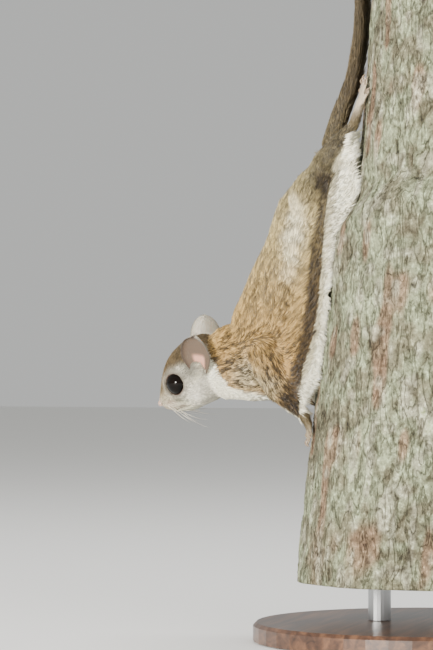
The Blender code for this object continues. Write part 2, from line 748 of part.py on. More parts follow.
def limbs(side, word):
    """Both legs of one side, each piece cut clear of the one that carries it."""
    fore_lift = FORE_SHIFT_RIGHT if side == RIGHT else 0.0
    hind_lift = HIND_SHIFT_RIGHT if side == RIGHT else 0.0
    upper_arm = limb_knots(UPPER_ARM, side, fore_lift, (0.0, 0.5))
    forearm = limb_knots(FOREARM, side, fore_lift, (0.5, 1.0))
    thigh = limb_knots(THIGH, side, hind_lift, (0.0, 0.5))
    shin = limb_knots(SHIN, side, hind_lift, (0.5, 1.0))
    plan = [("upper_arm", upper_arm, None), ("forearm", forearm, upper_arm),
            ("thigh", thigh, None), ("shin", shin, thigh)]
    for part, knots, carrier in plan:
        made = limb(f"{part}_{word}", knots)
        cutters = [whole_torso(GAP)]
        if carrier:
            cutters.append(limb("carrier", carrier, GAP))
        for cutter in cutters:
            combine(made, [cutter], "DIFFERENCE")
        combine(made, [trunk("bark_cutter", GAP)], "DIFFERENCE")
        shade(made)
    feet = [("forefoot", FOREARM[-1], (-21.2, FOREFOOT_PALM_Z), FOREFOOT_TOES, fore_lift, (3.9, 1.9), forearm),
            ("hind_foot", SHIN[-1], (-20.6, HIND_BALL_Z), HIND_TOES, hind_lift, (4.1, 2.0), shin)]
    for part, ankle, ball, toes, lift, sole, carrier in feet:
        made = foot(f"{part}_{word}", ankle, ball, toes, side, lift, sole)
        combine(made, [limb("carrier", carrier, GAP)], "DIFFERENCE")
        combine(made, [trunk("bark_cutter", GAP)], "DIFFERENCE")
        shade(made)
    return upper_arm, forearm, thigh, shin, fore_lift, hind_lift


def membrane(side, word, carriers):
    """The furred gliding membrane from the flank to its free edge, wrist to ankle."""
    upper_arm, forearm, thigh, shin, fore_lift, hind_lift = carriers
    root, edge = mirrored(MEMBRANE_ROOT, side), mirrored(MEMBRANE_EDGE, side)
    last = len(root) - 1.0
    upper, lower = [], []
    for t in np.linspace(0.0, last, MEMBRANE_ROWS):
        lift = fore_lift * (1 - t / last) ** 2 + hind_lift * (t / last) ** 2
        inner, outer = spline(root, t), spline(edge, t) + np.array([0.0, 0.0, lift])
        span = outer - inner
        along = unit(spline(edge, min(t + 0.1, last)) - spline(edge, max(t - 0.1, 0.0)))
        normal = unit(np.cross(along, span)) * (1.0 if side == LEFT else -1.0)
        depth = np.interp(t, range(len(MEMBRANE_DEPTH)), MEMBRANE_DEPTH)
        row_up, row_low = [], []
        for f in np.linspace(0.0, 1.0, MEMBRANE_COLUMNS):
            bulge = MEMBRANE_BULGE * math.sin(math.pi * f)
            thick = MEMBRANE_ROOT_THICKNESS + (MEMBRANE_EDGE_THICKNESS - MEMBRANE_ROOT_THICKNESS) * f
            if f > 0.99:
                thick *= 0.5
            middle = inner + span * f + normal * bulge
            deep = middle + normal * thick / 2
            face = log_face_x(deep[1], deep[2]) - MEMBRANE_CLEARANCE
            deep[0] = max(deep[0], min(deep[0] + depth * min(2 * f, 1.0), face))
            row_up.append(deep)
            row_low.append(middle - normal * thick / 2)
        upper.append(row_up)
        lower.append(row_low)
    made = sheet(f"patagium_{word}", upper, lower, "coat_white")
    combine(made, [whole_torso(GAP)], "DIFFERENCE")
    for knots in (upper_arm, forearm, thigh, shin):
        combine(made, [limb("carrier", knots, GAP)], "DIFFERENCE")
    combine(made, [trunk("bark_cutter", GAP)], "DIFFERENCE")
    return shade(made)


# Stand

def turned(name, centre_x, profile, sides, slot):
    """A round piece on an upright axis from its radius and height pairs."""
    turns = np.linspace(0, 2 * math.pi, sides, endpoint=False)
    rings = [np.array([(centre_x + r * math.cos(t), r * math.sin(t), z) for t in turns]) for r, z in profile]
    return shade(rows_to_solid(name, rings, slot), 30.0)


def stand():
    turned("stand_base", BASE_CENTRE_X,
           [(BASE_RADIUS, 0.0), (BASE_RADIUS, BASE_HEIGHT - BASE_BEVEL),
            (BASE_RADIUS - BASE_BEVEL, BASE_HEIGHT)], 48, "stand_wood")
    for word, sign in (("front", -1.0), ("back", 1.0)):
        turned(f"stand_rod_{word}", log_axis(LOG_BOTTOM) + sign * ROD_SPREAD,
               [(ROD_RADIUS, BASE_HEIGHT + GAP), (ROD_RADIUS, LOG_BOTTOM - GAP)], 20, "stand_steel")


def centre_on_stand():
    """Move every piece so that the box's bottom centre is the origin."""
    pieces = [o for o in bpy.context.scene.objects if o.type == "MESH"]
    corners = np.array([v.co[:] for o in pieces for v in o.data.vertices])
    middle = (corners.min(axis=0) + corners.max(axis=0)) / 2
    for piece in pieces:
        for vert in piece.data.vertices:
            vert.co.x -= middle[0]
            vert.co.y -= middle[1]


def main():
    for old in list(bpy.data.objects):
        bpy.data.objects.remove(old)
    trunk("trunk_log")
    shade(bpy.data.objects["trunk_log"], 50.0)
    stand()
    head_solid()
    nose_pad()
    eyeball("eye_left", LEFT)
    eyeball("eye_right", RIGHT)
    ear("ear_left", LEFT, EAR_TIP_LEFT)
    ear("ear_right", RIGHT, EAR_TIP_RIGHT)
    neck()
    shade(torso_piece("chest", CHEST_SPAN, (True, True), (GAP, 0.0)))
    shade(torso_piece("abdomen", ABDOMEN_SPAN, (True, True), (GAP, GAP)))
    for side, word in ((LEFT, "left"), (RIGHT, "right")):
        carriers = limbs(side, word)
        membrane(side, word, carriers)
    tail()
    centre_on_stand()


main()
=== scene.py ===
"""Looks of a life-size flying squirrel that clings head down to a cut length of trunk on a display stand."""

import json
import logging
import math
from dataclasses import dataclass, field
from enum import Enum
from typing import Any, Optional, Sequence

import bmesh
import bpy
import numpy as np
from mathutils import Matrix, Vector
from mathutils.bvhtree import BVHTree
from mathutils.kdtree import KDTree

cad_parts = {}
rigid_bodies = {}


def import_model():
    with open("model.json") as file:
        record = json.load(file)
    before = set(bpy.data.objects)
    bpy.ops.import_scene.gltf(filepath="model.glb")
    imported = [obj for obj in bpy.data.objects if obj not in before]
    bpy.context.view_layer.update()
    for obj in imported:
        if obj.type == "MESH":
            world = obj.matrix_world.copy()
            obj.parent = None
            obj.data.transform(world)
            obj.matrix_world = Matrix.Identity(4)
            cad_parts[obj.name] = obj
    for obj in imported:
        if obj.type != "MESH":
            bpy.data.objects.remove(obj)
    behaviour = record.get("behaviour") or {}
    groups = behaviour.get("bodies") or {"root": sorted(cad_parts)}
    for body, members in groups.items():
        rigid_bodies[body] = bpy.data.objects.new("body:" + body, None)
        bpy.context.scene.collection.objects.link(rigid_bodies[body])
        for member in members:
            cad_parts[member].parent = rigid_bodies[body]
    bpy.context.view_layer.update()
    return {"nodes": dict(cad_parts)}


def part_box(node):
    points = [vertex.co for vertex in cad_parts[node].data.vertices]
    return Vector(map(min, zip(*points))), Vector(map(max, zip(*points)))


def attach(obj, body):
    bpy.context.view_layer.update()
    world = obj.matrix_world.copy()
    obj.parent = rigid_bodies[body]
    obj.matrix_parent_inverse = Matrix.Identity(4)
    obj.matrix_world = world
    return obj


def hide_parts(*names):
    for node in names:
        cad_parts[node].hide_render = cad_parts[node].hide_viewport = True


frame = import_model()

LOG = logging.getLogger("flying_squirrel")

MM = 0.001
SEED = 20
BASE_CENTRE_X = 46.0          # mm, the stand's axis in the animal's own frame
TINY = 1e-9
BAKE_MAP = "OFBake"
COAT_COLOURS = "Coat"
WELD = 1e-6                   # m, vertices nearer than this are one
TUFT_PATCH = 0.003            # share of the map that one tuft covers
MAP_MARGIN = 0.02             # share of the map kept free at each edge

Array = np.ndarray


# Numbers and colours


def frame_shift() -> float:
    """Distance in mm from the animal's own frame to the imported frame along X."""
    low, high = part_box("stand_base")
    return (low.x + high.x) / 2 / MM - BASE_CENTRE_X


SHIFT = np.array([frame_shift(), 0.0, 0.0])


def linear(hex_colour: str) -> tuple[float, float, float, float]:
    """Turn an sRGB hex colour to linear RGBA.

    Args:
        hex_colour: six hex digits, with or without a leading #.

    Returns:
        The linear colour with an alpha of 1.
    """
    digits = hex_colour.lstrip("#")
    channels = []
    for i in (0, 2, 4):
        c = int(digits[i:i + 2], 16) / 255
        channels.append(c / 12.92 if c <= 0.04045 else ((c + 0.055) / 1.055) ** 2.4)
    return channels[0], channels[1], channels[2], 1.0


def rgb(hex_colour: str) -> Array:
    """Linear RGB of an sRGB hex colour as an array."""
    return np.array(linear(hex_colour)[:3])


def blended(tint: Array, shade: str, share: Array) -> Array:
    """One colour or a row of them, with a hex shade laid over by a share from 0 to 1 for each row."""
    return tint + (rgb(shade) - tint) * share[:, None]


def unit(vectors: Any) -> Array:
    """Vectors along the last axis, scaled to length 1."""
    rows = np.asarray(vectors, float)
    return rows / np.maximum(np.linalg.norm(rows, axis=-1, keepdims=True), TINY)


def level(vectors: Array, normals: Array) -> Array:
    """The part of each vector that lies square to its normal."""
    return vectors - normals * np.sum(vectors * normals, axis=1, keepdims=True)


def ramp(low: float, high: float, values: Any) -> Array:
    """Smooth step from 0 at low to 1 at high."""
    f = np.clip((np.asarray(values, float) - low) / (high - low), 0.0, 1.0)
    return f * f * (3 - 2 * f)


def spline(knots: Any, t: Any) -> Array:
    """Points at t of the smooth curve through the knots, one knot at each whole t.

    Args:
        knots: rows of numbers.
        t: a number or an array of numbers from 0 to the last knot's number.

    Returns:
        One row of numbers for each t.
    """
    rows = np.asarray(knots, float)
    at = np.atleast_1d(np.asarray(t, float))
    i = np.clip(at, 0.0, len(rows) - 1.001).astype(int)
    f = (at - i)[:, None]
    b, c = rows[i], rows[i + 1]
    a = np.where(i[:, None] > 0, rows[np.maximum(i - 1, 0)], 2 * b - c)
    last = len(rows) - 1
    d = np.where(i[:, None] + 2 <= last, rows[np.minimum(i + 2, last)], 2 * c - b)
    return 0.5 * (2 * b + (c - a) * f + (2 * a - 5 * b + 4 * c - d) * f ** 2
                  + (3 * b - a - 3 * c + d) * f ** 3)


def stride(knots: Any, t: Array, reach: float) -> Array:
    """The smooth curve's run from a little before each t to a little after it."""
    return spline(knots, np.minimum(t + reach, len(knots) - 1)) - spline(knots, np.maximum(t - reach, 0))


def read_table(table: Any, at: Array) -> Array:
    """Values between the rows of a table of places and values."""
    places, values = np.transpose(table)
    return np.interp(at, places, values)


def lattice(cells: Array, seed: int) -> Array:
    """Repeatable random numbers from 0 to 1 at whole-number places."""
    n = cells.astype(np.int64)
    mixed = (n[:, 0] * 374761393 + n[:, 1] * 668265263 + n[:, 2] * 2147483647 + seed * 144665) & 0xFFFFFFFF
    mixed = ((mixed ^ (mixed >> 13)) * 1274126177) & 0xFFFFFFFF
    mixed = ((mixed ^ (mixed >> 16)) * 2246822519) & 0xFFFFFFFF
    return ((mixed >> 8) & 0xFFFF) / 65535.0


def soft_noise(points: Array, cell: float, seed: int) -> Array:
    """Smooth noise from 0 to 1 with features one cell across.

    Args:
        points: rows of X, Y, Z in mm.
        cell: feature size in mm.
        seed: picks another pattern.

    Returns:
        One number for each point.
    """
    q = points / cell + 1000.0
    base = np.floor(q)
    f = q - base
    f = f * f * (3 - 2 * f)
    total = np.zeros(len(points))
    for dx in (0, 1):
        for dy in (0, 1):
            for dz in (0, 1):
                share = (np.where(dx, f[:, 0], 1 - f[:, 0]) * np.where(dy, f[:, 1], 1 - f[:, 1])
                         * np.where(dz, f[:, 2], 1 - f[:, 2]))
                total += share * lattice(base + (dx, dy, dz), seed)
    return total


def path_gap(points: Array, path: Array) -> tuple[Array, Array]:
    """Distance from each point to a path of straight runs, and how far along the nearest place is.

    Args:
        points: rows of coordinates.
        path: the path's corners, in as many dimensions.

    Returns:
        The distances, and places along the path in corners from its start.
    """
    best = np.full(len(points), 1e9)
    where = np.zeros(len(points))
    for i in range(len(path) - 1):
        a, run = path[i], path[i + 1] - path[i]
        f = np.clip(((points - a) @ run) / max(float(run @ run), TINY), 0.0, 1.0)
        gap = np.linalg.norm(points - a - f[:, None] * run, axis=1)
        nearer = gap < best
        best[nearer], where[nearer] = gap[nearer], (i + f)[nearer]
    return best, where


def nearest_rows(spots: Any, points: Array) -> list[int]:
    """Number of the spot nearest to each point."""
    tree = KDTree(len(spots))
    for i, spot in enumerate(spots):
        tree.insert(spot, i)
    tree.balance()
    return [tree.find(point)[1] for point in points.tolist()]


def circle(sides: int) -> Array:
    """Even turns once round, in radians."""
    return np.linspace(0, 2 * math.pi, sides, endpoint=False)


def on_map(u: Array, v: Array) -> Array:
    """Places on the bake map for u and v from 0 to 1, clear of its edges."""
    return MAP_MARGIN + (1 - 2 * MAP_MARGIN) * np.stack([u, v], axis=1)


# Meshes


def link_new(name: str, data: Any) -> bpy.types.Object:
    """A new object for a mesh, a light or a camera, linked to the scene."""
    made = bpy.data.objects.new(name, data)
    bpy.context.scene.collection.objects.link(made)
    return made


def mesh_from(name: str, bm: bmesh.types.BMesh) -> bpy.types.Mesh:
    """A new mesh of what a BMesh holds, which is then freed."""
    mesh = bpy.data.meshes.new(name)
    bm.to_mesh(mesh)
    bm.free()
    return mesh


def read_rows(data: Any, name: str, width: int, kind: type = float) -> Array:
    """One property of every element of a mesh, a row for each."""
    flat = np.zeros(len(data) * width, kind)
    data.foreach_get(name, flat)
    return flat.reshape(-1, width)


def places_of(mesh: bpy.types.Mesh) -> Array:
    """A mesh's vertices in mm in the animal's own frame."""
    return read_rows(mesh.vertices, "co", 3) / MM - SHIFT


def move_vertices(mesh: bpy.types.Mesh, points: Array) -> None:
    """Put a mesh's vertices at places in mm in the animal's own frame."""
    mesh.vertices.foreach_set("co", ((points + SHIFT) * MM).ravel())
    mesh.update()


def closed_object(name: str, points: Array, faces: Sequence[Sequence[int]]) -> bpy.types.Object:
    """Make a closed, smooth mesh object at the origin from places in mm in the animal's own frame.

    Args:
        name: the piece's name.
        points: rows of X, Y, Z in mm.
        faces: corner numbers of each face.

    Returns:
        The new object, linked to the scene, with its faces turned outwards.
    """
    mesh = bpy.data.meshes.new(name)
    mesh.from_pydata(((points + SHIFT) * MM).tolist(), [], faces)
    mesh.update()
    mesh.shade_smooth()
    bm = bmesh.new()
    bm.from_mesh(mesh)
    bmesh.ops.recalc_face_normals(bm, faces=bm.faces)
    bm.to_mesh(mesh)
    bm.free()
    return link_new(name, mesh)


def ring_faces(rows: int, columns: int) -> list[Sequence[int]]:
    """Faces between closed rings of equal size, numbered one ring after another."""
    faces: list[Sequence[int]] = []
    for r in range(rows - 1):
        for c in range(columns):
            d = (c + 1) % columns
            a, b = r * columns, (r + 1) * columns
            faces.append((a + c, a + d, b + d, b + c))
    return faces


def closed_tube(name: str, rings: Array) -> bpy.types.Object:
    """A closed solid from rings of points, with a flat face at each end."""
    rows, columns = rings.shape[:2]
    faces = ring_faces(rows, columns)
    faces.append(list(range(columns))[::-1])
    faces.append([(rows - 1) * columns + c for c in range(columns)])
    return closed_object(name, rings.reshape(-1, 3), faces)


def paint(made: bpy.types.Object, name: str, colours: Array) -> None:
    """Store one linear colour for each vertex of a piece."""
    layer = made.data.color_attributes.new(name, "FLOAT_COLOR", "POINT")
    rgba = np.ones((len(colours), 4), np.float32)
    rgba[:, :3] = np.clip(colours, 0.0, 1.0)
    layer.data.foreach_set("color", rgba.ravel())


def evaluated_copy(made: bpy.types.Object, name: str) -> bpy.types.Object:
    """Replace an object that has modifiers by a plain one with their result."""
    graph = bpy.context.evaluated_depsgraph_get()
    mesh = bpy.data.meshes.new_from_object(made.evaluated_get(graph))
    bpy.data.objects.remove(made)
    mesh.name = name
    return link_new(name, mesh)


def grown(host: bpy.types.Object, tree: bpy.types.NodeTree, values: dict[str, Any],
          name: str) -> bpy.types.Object:
    """The plain mesh that Geometry Nodes make of a host, which is removed.

    Args:
        host: the object that the nodes start from.
        tree: the group of nodes.
        values: the group's inputs by name.
        name: the new object's name.

    Returns:
        The new object, linked to the scene.
    """
    live = host.modifiers.new(name, "NODES")
    live.node_group = tree
    for socket in tree.interface.items_tree:
        if socket.in_out == "INPUT" and socket.name in values:
            live[socket.identifier] = values[socket.name]
    return evaluated_copy(host, name)


def dress(mesh: bpy.types.Mesh, finish: "Finish") -> None:
    """Give a mesh one finish in place of any other."""
    mesh.materials.clear()
    mesh.materials.append(finish.material())


def finish_piece(made: bpy.types.Object, replaced: Sequence[str] = (),
                 finish: Optional["Finish"] = None) -> None:
    """Dress a piece, make it ride on the model and report it.

    Args:
        made: the piece.
        replaced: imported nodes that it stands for.
        finish: its finish, where the piece has none yet.
    """
    if finish is not None:
        dress(made.data, finish)
    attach(made, "root")
    if replaced:
        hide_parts(*replaced)
    LOG.info("%s: %d faces", made.name, len(made.data.polygons))


# Materials


def add_node(tree: bpy.types.NodeTree, kind: str, inputs: Optional[dict[Any, Any]] = None,
             **settings: Any) -> bpy.types.Node:
    """Add a node with its settings, values and links.

    Args:
        tree: the node tree.
        kind: the node's type name.
        inputs: socket name or number to a value, or to the output socket that feeds it.
        settings: the node's own properties.

    Returns:
        The new node.
    """
    node = tree.nodes.new(kind)
    for name, value in settings.items():
        setattr(node, name, value)
    for socket, value in (inputs or {}).items():
        if isinstance(value, bpy.types.NodeSocket):
            tree.links.new(value, node.inputs[socket])
        else:
            node.inputs[socket].default_value = value
    return node


def group_inputs(tree: bpy.types.NodeTree, sockets: Sequence[tuple[str, str, Any]]) -> Any:
    """Give a group of Geometry Nodes its inputs and its geometry output.

    Args:
        tree: the group.
        sockets: name, type and value of each input; None leaves a type's own value.

    Returns:
        The inputs' sockets inside the group, by name.
    """
    for name, kind, value in sockets:
        socket = tree.interface.new_socket(name, in_out="INPUT", socket_type=f"NodeSocket{kind}")
        if value is not None:
            socket.default_value = value
    tree.interface.new_socket("Geometry", in_out="OUTPUT", socket_type="NodeSocketGeometry")
    return add_node(tree, "NodeGroupInput").outputs


def painted(tree: bpy.types.NodeTree) -> bpy.types.NodeSocket:
    """The piece's own colours, one for each vertex."""
    return add_node(tree, "ShaderNodeAttribute", attribute_name=COAT_COLOURS).outputs["Color"]


def noise(tree: bpy.types.NodeTree, scale: float, stretch: tuple[float, float, float] = (1.0, 1.0, 1.0),
          detail: float = 2.0, roughness: float = 0.5, distortion: float = 0.0) -> bpy.types.NodeSocket:
    """Noise on Object coordinates, with its features for each metre and its stretch along X, Y and Z."""
    place = add_node(tree, "ShaderNodeTexCoord")
    moved = add_node(tree, "ShaderNodeMapping", {"Vector": place.outputs["Object"], "Scale": stretch})
    return add_node(tree, "ShaderNodeTexNoise", {
        "Vector": moved.outputs[0], "Scale": scale, "Detail": detail, "Roughness": roughness,
        "Distortion": distortion}).outputs[0]


def toned(tree: bpy.types.NodeTree, source: bpy.types.NodeSocket,
          steps: Sequence[tuple[float, str]]) -> bpy.types.NodeSocket:
    """Colours for a value, by a Color Ramp node with the given places and hex colours."""
    node = add_node(tree, "ShaderNodeValToRGB", {0: source})
    elements = node.color_ramp.elements
    while len(elements) > 1:
        elements.remove(elements[-1])
    elements[0].position, elements[0].color = steps[0][0], linear(steps[0][1])
    for place, shade in steps[1:]:
        elements.new(place).color = linear(shade)
    return node.outputs[0]


def layered(tree: bpy.types.NodeTree, share: float, under: bpy.types.NodeSocket, over: bpy.types.NodeSocket,
            way: str) -> bpy.types.NodeSocket:
    """Two colours blended by a share, in one of the Mix node's ways."""
    return add_node(tree, "ShaderNodeMix", {0: share, 6: under, 7: over},
                    data_type="RGBA", blend_type=way).outputs[2]


def bumped(tree: bpy.types.NodeTree, height: bpy.types.NodeSocket, strength: float, distance_mm: float,
           invert: bool = False) -> bpy.types.NodeSocket:
    """Surface directions from a height."""
    return add_node(tree, "ShaderNodeBump", {
        "Height": height, "Strength": strength, "Distance": distance_mm * MM}, invert=invert).outputs[0]


def surface(tree: bpy.types.NodeTree, colour: Any, roughness: float, **inputs: Any) -> bpy.types.Node:
    """A Principled BSDF node; each further input is named with _ for a space."""
    return add_node(tree, "ShaderNodeBsdfPrincipled", {
        "Base Color": colour, "Roughness": roughness,
        **{name.replace("_", " "): value for name, value in inputs.items()}})


@dataclass(frozen=True)
class Finish:
    """A finish: subclasses name the real material and build its nodes."""

    title: str = "finish"

    def material(self) -> bpy.types.Material:
        """The finish as a material, built the first time it is asked for."""
        known = bpy.data.materials.get(self.title)
        if known is not None:
            return known
        made = bpy.data.materials.new(self.title)
        made.use_nodes = True
        tree = made.node_tree
        tree.nodes.clear()
        shader = self.shader(tree)
        add_node(tree, "ShaderNodeOutputMaterial", {"Surface": shader.outputs[0]})
        return made

    def shader(self, tree: bpy.types.NodeTree) -> bpy.types.Node:
        """Build the surface shader in the tree."""
        raise NotImplementedError(self.title)


@dataclass(frozen=True)
class FurFinish(Finish):
    """Mammal hair, keratin: a soft sheen along each tuft, no mirror gloss."""

    title: str = "mammal_hair_keratin"
    roughness: float = 0.62
    sheen: float = 0.12

    def shader(self, tree: bpy.types.NodeTree) -> bpy.types.Node:
        """Hair that takes its markings from the coat's own colours."""
        return surface(tree, painted(tree), self.roughness, Specular_IOR_Level=0.28,
                       Sheen_Weight=self.sheen, Sheen_Roughness=0.5)


@dataclass(frozen=True)
class BareSkinFinish(Finish):
    """Thin live-looking skin, painted: fine pores, and light that glows through a little."""

    title: str = "thin_bare_skin"
    roughness: float = 0.5
    pore_mm: float = 0.35
    glow: float = 0.25

    def shader(self, tree: bpy.types.NodeTree) -> bpy.types.Node:
        """Skin that takes its colour from the piece's own colours."""
        pores = noise(tree, 1 / (self.pore_mm * MM), detail=3.0)
        return surface(tree, painted(tree), self.roughness, Normal=bumped(tree, pores, 0.35, 0.08),
                       Subsurface_Weight=self.glow, Subsurface_Radius=(1.0, 0.45, 0.3),
                       Subsurface_Scale=0.8 * MM)


@dataclass(frozen=True)
class NosePadFinish(Finish):
    """Moist nose leather: pebbled skin, brown-pink, with a wet shine."""

    title: str = "moist_nose_leather"
    pebble_mm: float = 0.3

    def shader(self, tree: bpy.types.NodeTree) -> bpy.types.Node:
        """Pebbled leather with darker furrows."""
        place = add_node(tree, "ShaderNodeTexCoord")
        pebbles = add_node(tree, "ShaderNodeTexVoronoi", {
            "Vector": place.outputs["Object"], "Scale": 1 / (self.pebble_mm * MM)}).outputs["Distance"]
        tint = toned(tree, pebbles, [(0.0, "#c7ad9a"), (0.55, "#ac9080"), (1.0, "#7d6255")])
        return surface(tree, tint, 0.32, Normal=bumped(tree, pebbles, 0.5, 0.06, invert=True),
                       Coat_Weight=0.3, Coat_Roughness=0.2)


@dataclass(frozen=True)
class GlassEyeFinish(Finish):
    """Solid glass eye, near-black brown, with a wet mirror gloss."""

    title: str = "dark_glass_eye"

    def shader(self, tree: bpy.types.NodeTree) -> bpy.types.Node:
        """Dark glass with a faint brown depth between cloudy patches."""
        tint = toned(tree, noise(tree, 260.0), [(0.35, "#050403"), (0.7, "#0f0906")])
        return surface(tree, tint, 0.05, IOR=1.4, Specular_IOR_Level=0.22)


@dataclass(frozen=True)
class ClawFinish(Finish):
    """Claw horn: smooth and grey-brown, darker and paler in fine patches."""

    title: str = "claw_horn"

    def shader(self, tree: bpy.types.NodeTree) -> bpy.types.Node:
        """Horn mottled by fine noise."""
        tint = toned(tree, noise(tree, 2200.0), [(0.3, "#5a4a3c"), (0.7, "#98866f")])
        return surface(tree, tint, 0.3, IOR=1.54)


@dataclass(frozen=True)
class WhiskerFinish(Finish):
    """Whisker keratin: stiff, pale and glossy along its length."""

    title: str = "whisker_keratin"

    def shader(self, tree: bpy.types.NodeTree) -> bpy.types.Node:
        """Pale keratin that darkens in places along its length."""
        return surface(tree, toned(tree, noise(tree, 120.0), [(0.4, "#d8d2bd"), (0.62, "#8d8272")]), 0.35)


@dataclass(frozen=True)
class BarkFinish(Finish):
    """Weathered hardwood bark under a grey-green crust of lichen: dry, rough, no gloss."""

    title: str = "lichened_hardwood_bark"
    crust_mm: float = 1.7
    grain_mm: float = 0.6
    fissure_mm: float = 3.6

    def shader(self, tree: bpy.types.NodeTree) -> bpy.types.Node:
        """Large patches come from the bark's own colours, crust and grain from noise."""
        crust = noise(tree, 1 / (self.crust_mm * MM), (1.0, 1.0, 0.75), 6.0, 0.68)
        speck = toned(tree, crust, [
            (0.35, "#463f36"), (0.45, "#8d897d"), (0.56, "#adaa9e"), (0.67, "#ebede2")])
        mottled = layered(tree, 0.8, painted(tree), speck, "OVERLAY")
        fissure = noise(tree, 1 / (self.fissure_mm * MM), (1.0, 1.0, 0.26), 3.0, distortion=0.5)
        line = toned(tree, fissure, [
            (0.455, "#ffffff"), (0.485, "#5b5348"), (0.5, "#463e34"), (0.53, "#ffffff")])
        grain = noise(tree, 1 / (self.grain_mm * MM), detail=5.0, roughness=0.7)
        both = add_node(tree, "ShaderNodeMath", {0: crust, 1: grain}, operation="ADD")
        rough = add_node(tree, "ShaderNodeMath", {0: both.outputs[0], 1: line}, operation="ADD")
        return surface(tree, layered(tree, 0.55, mottled, line, "MULTIPLY"), 0.88,
                       Normal=bumped(tree, rough.outputs[0], 0.9, 0.9), Specular_IOR_Level=0.25)


@dataclass(frozen=True)
class EndGrainFinish(Finish):
    """Sawn end grain of pale hardwood: growth rings about 1.8 mm apart and dull saw marks."""

    title: str = "sawn_end_grain"
    ring_mm: float = 1.8
    centre: tuple[float, float] = (0.0, 0.0)

    def shader(self, tree: bpy.types.NodeTree) -> bpy.types.Node:
        """Rings round the trunk's own axis, from Object coordinates."""
        place = add_node(tree, "ShaderNodeTexCoord")
        moved = add_node(tree, "ShaderNodeMapping", {
            "Vector": place.outputs["Object"], "Location": (-self.centre[0], -self.centre[1], 0.0)})
        rings = add_node(tree, "ShaderNodeTexWave", {
            "Vector": moved.outputs[0], "Scale": 1 / (self.ring_mm * MM) / 20.0 * math.pi, "Distortion": 3.2,
            "Detail": 3.0, "Detail Scale": 1.4}, wave_type="RINGS", rings_direction="Z")
        tint = toned(tree, rings.outputs[0], [(0.1, "#ab916d"), (0.55, "#c4ab85"), (0.95, "#d0ba94")])
        return surface(tree, tint, 0.75, Normal=bumped(tree, noise(tree, 900.0), 0.4, 0.2))


@dataclass(frozen=True)
class WalnutFinish(Finish):
    """Turned walnut under satin lacquer: long dark grain, a soft even shine."""

    title: str = "satin_lacquered_walnut"
    grain_mm: float = 4.0

    def shader(self, tree: bpy.types.NodeTree) -> bpy.types.Node:
        """Grain stretched along Y with fine pores."""
        along = (1.0, 0.08, 1.0)
        grain = noise(tree, 1 / (self.grain_mm * MM), along, 6.0, distortion=0.6)
        tint = toned(tree, grain, [(0.3, "#2b1b12"), (0.5, "#4a3122"), (0.7, "#6a4932")])
        return surface(tree, tint, 0.36, Normal=bumped(tree, noise(tree, 2600.0, along), 0.12, 0.08),
                       Coat_Weight=0.35, Coat_Roughness=0.25)


@dataclass(frozen=True)
class BrushedSteelFinish(Finish):
    """Brushed stainless steel rod: fine lines round the rod spread its highlights."""

    title: str = "brushed_stainless_steel"
    line_mm: float = 0.25

    def shader(self, tree: bpy.types.NodeTree) -> bpy.types.Node:
        """Lines round an upright rod as bump."""
        lines = noise(tree, 1 / (self.line_mm * MM), (0.05, 0.05, 1.0))
        return surface(tree, linear("#b9bbbd"), 0.3, Metallic=1.0, Normal=bumped(tree, lines, 0.25, 0.03))


@dataclass(frozen=True)
class StudioPaperFinish(Finish):
    """Matt studio paper for the floor."""

    title: str = "studio_paper"
    tone: str = "#e9e8e5"

    def shader(self, tree: bpy.types.NodeTree) -> bpy.types.Node:
        """Plain pale paper."""
        return surface(tree, linear(self.tone), 0.9)


# The trunk's shape


